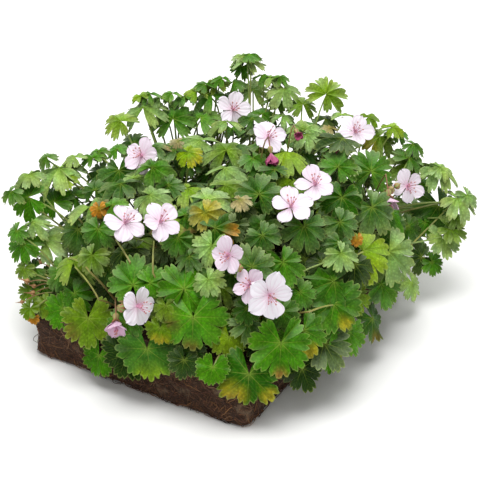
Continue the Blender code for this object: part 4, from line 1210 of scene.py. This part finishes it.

# The leaves of the shaded inside, which fill the gaps between the outer ones and are painted darker the
# deeper
# they lie, a painted shade: how many places are tried and leaves wanted, the height of the lowest, and their
# reach in mm. Further out than this share they are kept from before the flowers. One at the very middle would
# keep this share of its colour, the rest being painted shade.
INNER_TRIES = 5000
INNER_LEAVES = 300
INNER_LOWEST = 52 * MM
INNER_REACH = (13, 20)
INNER_HIDES = 0.85
INNER_PAINTED_SHADE = 0.45
INNER_TONES = ("dark", "deep", "deep", "mid", "mid", "olive")
inner = 0
for number in range(INNER_TRIES):
    if inner == INNER_LEAVES:
        break
    rise = chance.uniform(-0.1, 1)
    turn = chance.uniform(0, 2 * math.pi)
    ring_size = math.sqrt(1 - rise * rise)
    direction = Vector((ring_size * math.cos(turn), ring_size * math.sin(turn), rise))
    level = sum(abs(direction[i]) ** DOME_POWER for i in range(3))
    spread = Vector([direction[i] * DOME_HALF[i] for i in range(3)]) * level ** (-1 / DOME_POWER)
    depth = chance.uniform(0.55, 1.0)
    hub = DOME_CENTRE + spread * depth
    if hub.z < INNER_LOWEST:
        continue
    out = outward(hub)
    normal = out + Vector((0, 0, 0.9)) + Vector([chance.uniform(-0.5, 0.5) for _ in range(3)])
    aim = Vector((out.x, out.y, -0.3)) + Vector([chance.uniform(-0.8, 0.8) for _ in range(3)])
    place = frame_at(hub, aim, normal)
    reach = chance.uniform(*INNER_REACH) * MM
    tree_here = clear_of_others(place, reach)
    if not tree_here or (depth > INNER_HIDES and hides_a_flower(place, reach)):
        continue
    discs.append((hub, reach, tree_here))
    tone = TONES[chance.choice(INNER_TONES)]
    # Painted shade: the tone darkens the deeper the leaf lies in the foliage
    grow_inner(place, reach, tone * (INNER_PAINTED_SHADE + (1 - INNER_PAINTED_SHADE) * depth), False)
    inner += 1

for name in shoots:
    shoot = shoot_piles[name].piece(name + "_leaves", leaf_skin, stalk_skin)
    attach(shoot, "root")
    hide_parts(name)

# Flower stems and buds
# Thin wiry stems that rise between the leaves, forked into a pedicel for each flower and bud. A bud is
# wrapped in five sepals, green with red stripes, that end in a short awn.
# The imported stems' own sizes, and where each rises and forks
STEM_RADIUS = 1.0 * MM
PEDICEL_RADIUS = 0.8 * MM
CALYX_LENGTH = 7 * MM
STAMEN_LENGTH = 11 * MM
NOD = 14 * MM
PEDICEL_LIFT = 6 * MM
FORK_DROP = 0.30
FORK_HEIGHT = 12 * MM
STEM_BEND = 0.6
STEM_PULLED_IN = 0.80
CROWN_SPACING_X = 50 * MM
CROWN_SPACING_Y = 41 * MM
MOST_SIDEWAYS = 0.97
BUD_DEPTH = -12 * MM
# A bud: its middle pixel, its width in mm and its stem
BUDS = (
    ((121, 308), 7.0, 2),
    ((128, 303), 6.0, 2),
    ((391, 190), 7.0, 6),
    ((397, 186), 6.0, 6),
    ((239, 268), 6.5, 3),
)
# A bud's outline from its stalk to its awn: how far along and how wide, as shares of its half width
BUD_PROFILE = (
    (-0.80, 0.30), (-0.62, 0.68), (-0.35, 0.95), (0.0, 1.02), (0.35, 0.90), (0.65, 0.60), (0.90, 0.28),
    (1.15, 0.10), (1.45, 0.05),
)
BUD_TONES = (linear("a5574b"), linear("8fae5a"))
# The swollen joint where a stem forks
FORK_PROFILE = ((-1, 0.7), (-0.4, 1.1), (0.4, 1.1), (1, 0.7))
FORK_SIZE = 1.3 * MM
FORK_TONES = (linear("9a5a44"), linear("7d9a48"))


def flower_axis(middle, stamens, centre):
    """The direction that a flower looks in, from where its stamens point in the photograph."""
    scale = (centre - EYE).dot(VIEW_FORWARD) / PHOTO_FOCUS / STAMEN_LENGTH
    sideways = VIEW_RIGHT * ((stamens[0] - middle[0]) * scale)
    sideways += VIEW_UP * ((middle[1] - stamens[1]) * scale)
    if sideways.length > MOST_SIDEWAYS:
        sideways *= MOST_SIDEWAYS / sideways.length
    return (sideways - VIEW_FORWARD * math.sqrt(1 - sideways.length_squared)).normalized()


def middle_of(ends):
    """The middle of a stem's flower ends."""
    return sum((end for end, _ in ends), Vector()) / len(ends)


def stalk(pile, path, thick, thin, redness):
    """A flower stalk, green at its foot and redder above."""
    high = linear("8a4a3c") * redness + linear("7d9a48") * (1 - redness)
    graded_tube(pile, path, np.linspace(thick, thin, len(path)), linear("6f8f3c"), high, finish=0, sides=7)


def strap_faces():
    """The faces of a closed strap of four cross sections, each of four points."""
    faces = []
    for ring in range(3):
        a = ring * 4
        for i, j in ((0, 1), (1, 3), (3, 2), (2, 0)):
            faces += [(a + i, a + j, a + 4 + j), (a + i, a + 4 + j, a + 4 + i)]
    return np.array(faces + [(0, 2, 1), (1, 2, 3), (12, 13, 14), (13, 15, 14)])


def bract(pile, place, aim, chance):
    """One of the small pointed leaves at a fork."""
    length, half = chance.uniform(3.5, 6) * MM, 1.0 * MM
    x = aim.normalized()
    y = x.orthogonal().normalized()
    z = x.cross(y)
    spine = [(0, 0.3), (0.35, 1.0), (0.7, 0.7), (1, 0.08)]
    points = []
    for along, wide in spine:
        for lift in (0.15, -0.15):
            for side in (-1, 1):
                droop = -0.25 * length * along * along
                points.append(place + x * length * along + y * half * wide * side + z * (lift * MM + droop))
    pile.put(points, strap_faces(), linear("9a6a48"))


def out_from(axis, turn):
    """The direction square to an axis at a turn round it."""
    side = axis.orthogonal().normalized()
    return side * math.cos(turn) + axis.cross(side) * math.sin(turn)


def turned_body(pile, centre, axis, profile, size, ribs, tones, finish=0, depth=0.14):
    """A ribbed body of revolution, such as a bud or a calyx: ribs in one tone and grooves in the other."""
    count = ribs * 4
    points, paint = [], []
    for along, wide in profile:
        for step in range(count):
            turn = 2 * math.pi * step / count
            rib = 0.5 + 0.5 * math.cos(ribs * turn)
            out = size * wide * (1 - depth + depth * rib)
            points.append(centre + axis * size * along + out_from(axis, turn) * out)
            paint.append(tones[0] * rib + tones[1] * (1 - rib))
    pile.put(points, closed_faces(len(profile), count), np.array(paint), finish=finish)


flower_places = []
ends = {}
for middle, stamens, width, spread, stem, deep, pink in FLOWERS:
    centre = on_dome(middle, FLOWER_DEPTH + deep * MM)
    axis = flower_axis(middle, stamens, centre)
    flower_places.append((centre, axis, width * MM / 2, math.radians(spread), pink))
    ends.setdefault(stem, []).append((centre - axis * (CALYX_LENGTH + SEAT_GAP), axis))
free = [
    Vector((column * CROWN_SPACING_X, row * CROWN_SPACING_Y, slab_high.z + SEAT_GAP))
    for row in (-2, -1, 0, 1, 2)
    for column in (-1, 0, 1)
]
chance = random.Random(97)
for stem, stem_ends in ends.items():
    pile = Pile()
    below = middle_of(stem_ends).xy * STEM_PULLED_IN
    foot = min(free, key=lambda spot: (spot.xy - below).length)
    free.remove(foot)
    fork = middle_of(stem_ends).lerp(foot, FORK_DROP)
    fork.z = max(fork.z, foot.z + FORK_HEIGHT)
    bend = Vector((foot.x, foot.y, foot.z + (fork.z - foot.z) * STEM_BEND))
    stalk(pile, bezier(foot - Vector((0, 0, 2 * MM)), bend, fork, 9), STEM_RADIUS, 0.9 * MM, 0.4)
    turned_body(pile, fork, Vector((0, 0, 1)), FORK_PROFILE, FORK_SIZE, 4, FORK_TONES)
    for end, axis in stem_ends:
        elbow = end - axis * NOD
        bend = fork.lerp(elbow, 0.5) + Vector((0, 0, PEDICEL_LIFT))
        path = bezier(fork, bend, elbow, 6) + bezier(elbow, elbow + axis * 7 * MM, end, 3)[1:]
        stalk(pile, path, PEDICEL_RADIUS, 0.62 * MM, 0.9)
        off = Vector((chance.uniform(-9, 9) * MM, chance.uniform(-9, 9) * MM, 4 * MM))
        bract(pile, fork, (elbow - fork) + off, chance)
    for middle, width, bud_stem in BUDS:
        if bud_stem == stem:
            centre = on_dome(middle, BUD_DEPTH)
            axis = (centre - fork).normalized()
            bend = fork.lerp(centre, 0.5) + Vector((0, 0, PEDICEL_LIFT))
            path = bezier(fork, bend, centre - axis * width * 0.3 * MM, 6)
            stalk(pile, path, PEDICEL_RADIUS, 0.6 * MM, 0.8)
            turned_body(pile, centre, axis, BUD_PROFILE, width / 2 * MM, 5, BUD_TONES)
    piece = pile.piece(f"stem_{stem:02d}_stalks", stalk_skin)
    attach(piece, "root")
    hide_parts(f"stem_{stem:02d}")

# Dry seed heads
# Brown ribbed heads with a short beak, which the first flowers left at the left side. They are light and
# brittle, and each stands on a stalk of its own from a crown.
SEED_DEPTH = -2 * MM
SEED_PROFILE = ((-0.9, 0.35), (-0.5, 0.9), (0, 1.0), (0.5, 0.75), (0.9, 0.35), (2.2, 0.14), (3.2, 0.08))
SEED_TONES = (linear("8a5a34"), linear("b08a58"))
# Each one's middle pixel and its width in mm
SEED_HEADS = (((27, 281), 5), ((34, 286), 4), ((33, 293), 5), ((22, 302), 3.5), ((41, 262), 4))
pile = Pile()
for pixel, width in SEED_HEADS:
    centre = on_dome(pixel, SEED_DEPTH)
    start = nearest_foot(shoot_under(centre), centre)
    axis = (centre - start).normalized()
    bend = start.lerp(centre, 0.5) + Vector((0, 0, 12 * MM))
    path = bezier(start, bend, centre - axis * width * 0.4 * MM, 8)
    stalk(pile, path, 0.8 * MM, 0.4 * MM, 0.9)
    turned_body(pile, centre, axis, SEED_PROFILE, width / 2 * MM, 5, SEED_TONES)
piece = pile.piece("dry_seed_heads", stalk_skin)
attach(piece, "root")

# Flowers
# Five broad thin petals on an inflated red-green calyx, with ten long pink stamens and a style standing
# out of the middle. The petals are almost white, with pink veins that gather towards the middle.
# A petal's share of its length, and its half width there as a share of the same
PETAL_OUTLINE = (
    (0.0, 0.05), (0.10, 0.075), (0.22, 0.14), (0.36, 0.265), (0.50, 0.370), (0.64, 0.430), (0.77, 0.425),
    (0.87, 0.365), (0.95, 0.25), (1.0, 0.10),
)
PETAL_ACROSS = 11
PETAL_THICKNESS = 0.30 * MM
STAMENS = 10
FILAMENT_RADII = np.linspace(0.28, 0.17, 6) * MM
ANTHER_TONES = (linear("b0607a"), linear("dba090"))
ANTHER_PROFILE = ((-1.3, 0.25), (-0.7, 0.85), (0, 1), (0.7, 0.85), (1.3, 0.25))
ANTHER_RADIUS = 0.62 * MM
PETAL_WHITE = linear("f1edf4")
PETAL_PINK = linear("cb84b2")
CALYX_PROFILE = (
    (-2.7, 0.32), (-2.5, 0.62), (-2.0, 0.95), (-1.4, 1.02), (-0.8, 0.86), (-0.35, 0.66), (0.05, 0.50),
)


def petal(pile, centre, axis, out, length, spread, tone, chance):
    """One obovate petal: two thin sheets and a wall, cupped across and bent back at its end."""
    out_vector, axis_vector = np.array(out), np.array(axis)
    run = out_vector * math.sin(spread) + axis_vector * math.cos(spread)
    face = axis_vector * math.sin(spread) - out_vector * math.cos(spread)
    side = np.cross(axis_vector, out_vector)
    cup = chance.uniform(0.05, 0.20)
    bend = chance.uniform(0.02, 0.20)
    twist = chance.uniform(0.05, 0.12)
    ripple = chance.uniform(0, 6.3)
    wide = chance.uniform(0.84, 1.06)
    rows = []
    for u, half in PETAL_OUTLINE:
        half *= wide
        for v in np.linspace(-1, 1, PETAL_ACROSS):
            # The end of the petal is round and wavy, so the middle of each row lies a little further out.
            wavy = 0.035 * math.sin(5 * v + ripple) + 0.02 * math.sin(11 * v + 2 * ripple)
            along = u * (1 - 0.02 * v * v) * (1 + wavy)
            lift = cup * v * v * half - bend * u**3 + twist * v * half
            lift += (0.028 * math.sin(6 * v + ripple + 5 * u) + 0.014 * math.sin(13 * v - ripple)) * u * u
            spot = run * along + side * (v * half) + face * lift
            rows.append((*(np.array(centre) + spot * length), u, v, half))
    rows = np.array(rows)
    count = len(rows)
    faces = []
    for ring in range(len(PETAL_OUTLINE) - 1):
        for step in range(PETAL_ACROSS - 1):
            a = ring * PETAL_ACROSS + step
            b = a + PETAL_ACROSS
            faces += [(a, b, b + 1), (a, b + 1, a + 1)]
    faces = np.array(faces)[:, ::-1]
    last = count - PETAL_ACROSS
    border = [*range(PETAL_ACROSS)]
    border += [ring * PETAL_ACROSS + PETAL_ACROSS - 1 for ring in range(1, len(PETAL_OUTLINE))]
    border += [*range(count - 2, last - 1, -1)]
    border += [ring * PETAL_ACROSS for ring in range(len(PETAL_OUTLINE) - 2, 0, -1)]
    low = rows.copy()
    low[:, :3] -= face * PETAL_THICKNESS
    both = np.concatenate((rows, low))
    shares = np.concatenate((np.zeros(count), np.ones(count)))
    sheets_and_rim = np.concatenate((faces, rim_walls(border, count), faces[:, ::-1] + count))
    pile.put(both[:, :3], sheets_and_rim, tone, both[:, 3:], shares)


def flower_middle(pile, centre, axis, spread, pink, chance):
    """Stamens with their anthers, the style, and the calyx behind the petals."""
    filament = linear("e3a9c4")
    for number in range(STAMENS + 1):
        out = out_from(axis, 2 * math.pi * number / STAMENS + chance.uniform(-0.2, 0.2))
        far = chance.uniform(0.75, 1.0) * STAMEN_LENGTH
        lean = 0.05 if number == STAMENS else chance.uniform(0.18, 0.5)
        if spread < 1:
            lean *= 0.4
        foot = centre + out * 0.7 * MM
        tip = centre + axis * far + out * (far * lean)
        bend = centre + axis * far * 0.55 + out * (far * lean * 0.75)
        path = bezier(foot, bend, tip, 5)
        points, faces = tube(path, FILAMENT_RADII, 5)
        pile.put(points, faces, filament * chance.uniform(0.8, 1.1), finish=1)
        if number < STAMENS:
            lie = (out + axis * 0.4).normalized()
            turned_body(pile, tip, lie, ANTHER_PROFILE, ANTHER_RADIUS, 2, ANTHER_TONES, finish=1)
    tones = (linear("9c4a45") * (0.4 + 0.6 * pink) + linear("8a9a55") * (0.6 - 0.6 * pink), linear("a4ac63"))
    turned_body(pile, centre, axis, CALYX_PROFILE, 2.6 * MM, 5, tones, finish=1)
    for number in range(5):
        out = out_from(axis, 2 * math.pi * (number + 0.5) / 5)
        foot = centre - axis * 1.2 * MM + out * 1.6 * MM
        outward_run, forward_run = (5.0 * MM, 0.5 * MM) if spread > 1 else (2.5 * MM, 3.5 * MM)
        tip = foot + out * outward_run + axis * forward_run
        wide = axis.cross(out)
        points = []
        for share, half in ((0, 1.2), (0.4, 1.5), (0.8, 0.8), (1.25, 0.12)):
            spot = foot.lerp(tip, share)
            for lift in (0.12, -0.12):
                for hand in (-1, 1):
                    points.append(spot + wide * (half * hand * MM) + axis * (lift * MM))
        pile.put(points, strap_faces()[:, ::-1], tones[0], finish=1)


# A petal: thin, soft and matt, almost white, with fine pink veins that fan out from its narrow base
petal_skin, tree, shader = finish("soft_pale_petal")
paint = add(tree, "Attribute", attribute_name="paint").outputs["Color"]
where = add(tree, "Attribute", attribute_name="place").outputs["Vector"]
spot = add(tree, "TexCoord").outputs["Object"]
along, across, half = add(tree, "SeparateXYZ", {0: where}).outputs
wander = add(tree, "TexNoise", {"Vector": spot, "Scale": 1 / (5 * MM), "Detail": 2}).outputs[0]
fan = add(tree, "Math", {0: across, 1: 13.0}, operation="MULTIPLY").outputs[0]
fan = add(tree, "Math", {0: wander, 1: 2.2, 2: fan}, operation="MULTIPLY_ADD").outputs[0]
fan = add(tree, "Math", {0: fan}, operation="COSINE").outputs[0]
lines = add(
    tree, "MapRange", {"Value": fan, "From Min": 0.55, "From Max": 1.0, "To Max": 0.27},
    interpolation_type="SMOOTHSTEP",
).outputs[0]
fade = add(
    tree, "MapRange", {"Value": along, "From Min": 0.25, "From Max": 1.0, "To Min": 1, "To Max": 0.1}
).outputs[0]
lines = add(tree, "Math", {0: lines, 1: fade}, operation="MULTIPLY").outputs[0]
throat = add(
    tree, "MapRange", {"Value": along, "From Min": 0.05, "From Max": 0.45, "To Min": 0.42, "To Max": 0}
).outputs[0]
base = add(tree, "Mix", {0: throat, 6: paint, 7: (*linear("e2acc8"), 1)}, data_type="RGBA").outputs[2]
base = add(tree, "Mix", {0: lines, 6: base, 7: (*linear("cf7fae"), 1)}, data_type="RGBA").outputs[2]
bump = add(tree, "Bump", {"Height": fan, "Strength": 0.25, "Distance": 0.3 * MM})
tree.links.new(base, shader.inputs["Base Color"])
tree.links.new(bump.outputs[0], shader.inputs["Normal"])
shader.inputs["Roughness"].default_value = 0.55
shader.inputs["Specular IOR Level"].default_value = 0.3

chance = random.Random(109)
for number, (centre, axis, length, spread, pink) in enumerate(flower_places, 1):
    pile = Pile()
    start = chance.uniform(0, 2 * math.pi)
    tone = PETAL_WHITE * (1 - pink) + PETAL_PINK * pink
    for which in range(5):
        out = out_from(axis, start + 2 * math.pi * which / 5 + chance.uniform(-0.12, 0.12))
        opened = spread + chance.uniform(-0.20, 0.16)
        petal(pile, centre, axis, out, length * chance.uniform(0.90, 1.06), opened, tone, chance)
    flower_middle(pile, centre, axis, spread, pink, chance)
    piece = pile.piece(f"flower_{number:02d}_petals", petal_skin, stalk_skin)
    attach(piece, "root")
    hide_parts(f"flower_{number:02d}")

# Faded flowers
# Flowers past their best, whose petals have shrunk to a deep pink brush. Each hangs by its calyx on a nodding
# stalk of its own.
FADED_PINK = linear("b8567f")
# Their middles and where their tips point in the photograph, and the length of their petals in mm
FADED = (((271, 153), (273, 166), 11), ((297, 133), (299, 140), 8), ((341, 148), (339, 157), 8))
pile = Pile()
for middle, tip, size in FADED:
    centre = on_dome(middle, BUD_DEPTH)
    axis = flower_axis(middle, tip, centre)
    for which in range(5):
        out = out_from(axis, 2 * math.pi * which / 5)
        opened = math.radians(14 + chance.uniform(-6, 12))
        petal(pile, centre, axis, out, size * MM, opened, FADED_PINK * chance.uniform(0.8, 1.3), chance)
    turned_body(pile, centre, axis, CALYX_PROFILE, 2.2 * MM, 5, BUD_TONES, finish=1)
    foot = foot_places(crowns[shoot_under(centre)])[0]
    elbow = centre - axis * NOD
    path = bezier(foot, Vector((foot.x, foot.y, elbow.z)), elbow, 7)
    path += bezier(elbow, elbow + axis * 7 * MM, centre - axis * 5 * MM, 3)[1:]
    graded_tube(pile, path, np.linspace(0.8, 0.5, len(path)) * MM, linear("6f8f3c"), linear("8a4a3c"))
piece = pile.piece("faded_flowers", petal_skin, stalk_skin)
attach(piece, "root")

# Floor, light and camera
# A plain pale floor under plain soft light from above, seen from where the photograph was taken.
FLOOR_HALF = 6.0
# The two round lights: their width, their places and their watts, and the light from all round
LIGHT_WIDTH = 1.3
LIGHT_ABOVE = (0.05, -0.15, 1.75)
LIGHT_ABOVE_WATTS = 27
LIGHT_BEHIND = tuple(VIEW_LEVEL * 1.35 + Vector((0, 0, 1.15)))
LIGHT_BEHIND_WATTS = 10
SURROUND_STRENGTH = 0.52
mesh = bpy.data.meshes.new("floor")
corners = [(x * FLOOR_HALF, y * FLOOR_HALF, 0) for x, y in ((-1, -1), (1, -1), (1, 1), (-1, 1))]
mesh.from_pydata(corners, [], [(0, 1, 2, 3)])
# Matt white board: pale and even, with no gloss to mirror the plant
floor_paint, tree, shader = finish("matt_white_floor")
shader.inputs["Base Color"].default_value = (*linear("fafaf8"), 1)
shader.inputs["Roughness"].default_value = 0.9
mesh.materials.append(floor_paint)
floor = bpy.data.objects.new("floor", mesh)
bpy.context.scene.collection.objects.link(floor)

world = bpy.data.worlds.new("soft_surround")
bpy.context.scene.world = world
world.use_nodes = True
world.node_tree.nodes["Background"].inputs["Color"].default_value = (1, 1, 1, 1)
world.node_tree.nodes["Background"].inputs["Strength"].default_value = SURROUND_STRENGTH


def soft_light(name, place, power):
    """A wide round light that looks at the plant."""
    lamp = bpy.data.lights.new(name, "AREA")
    lamp.shape = "DISK"
    lamp.size = LIGHT_WIDTH
    lamp.energy = power
    made = bpy.data.objects.new(name, lamp)
    made.location = place
    made.rotation_euler = (DOME_CENTRE - Vector(place)).to_track_quat("-Z", "Y").to_euler()
    bpy.context.scene.collection.objects.link(made)


soft_light("light_above", LIGHT_ABOVE, LIGHT_ABOVE_WATTS)
soft_light("light_behind", LIGHT_BEHIND, LIGHT_BEHIND_WATTS)

lens = bpy.data.cameras.new("camera")
lens.lens = PHOTO_FOCUS / PHOTO_SIDE * lens.sensor_width
camera = bpy.data.objects.new("camera", lens)
turned = Matrix((VIEW_RIGHT, VIEW_UP, -VIEW_FORWARD)).transposed().to_4x4()
camera.matrix_world = Matrix.Translation(EYE) @ turned
bpy.context.scene.collection.objects.link(camera)
bpy.context.scene.camera = camera
bpy.context.scene.view_settings.view_transform = "Standard"
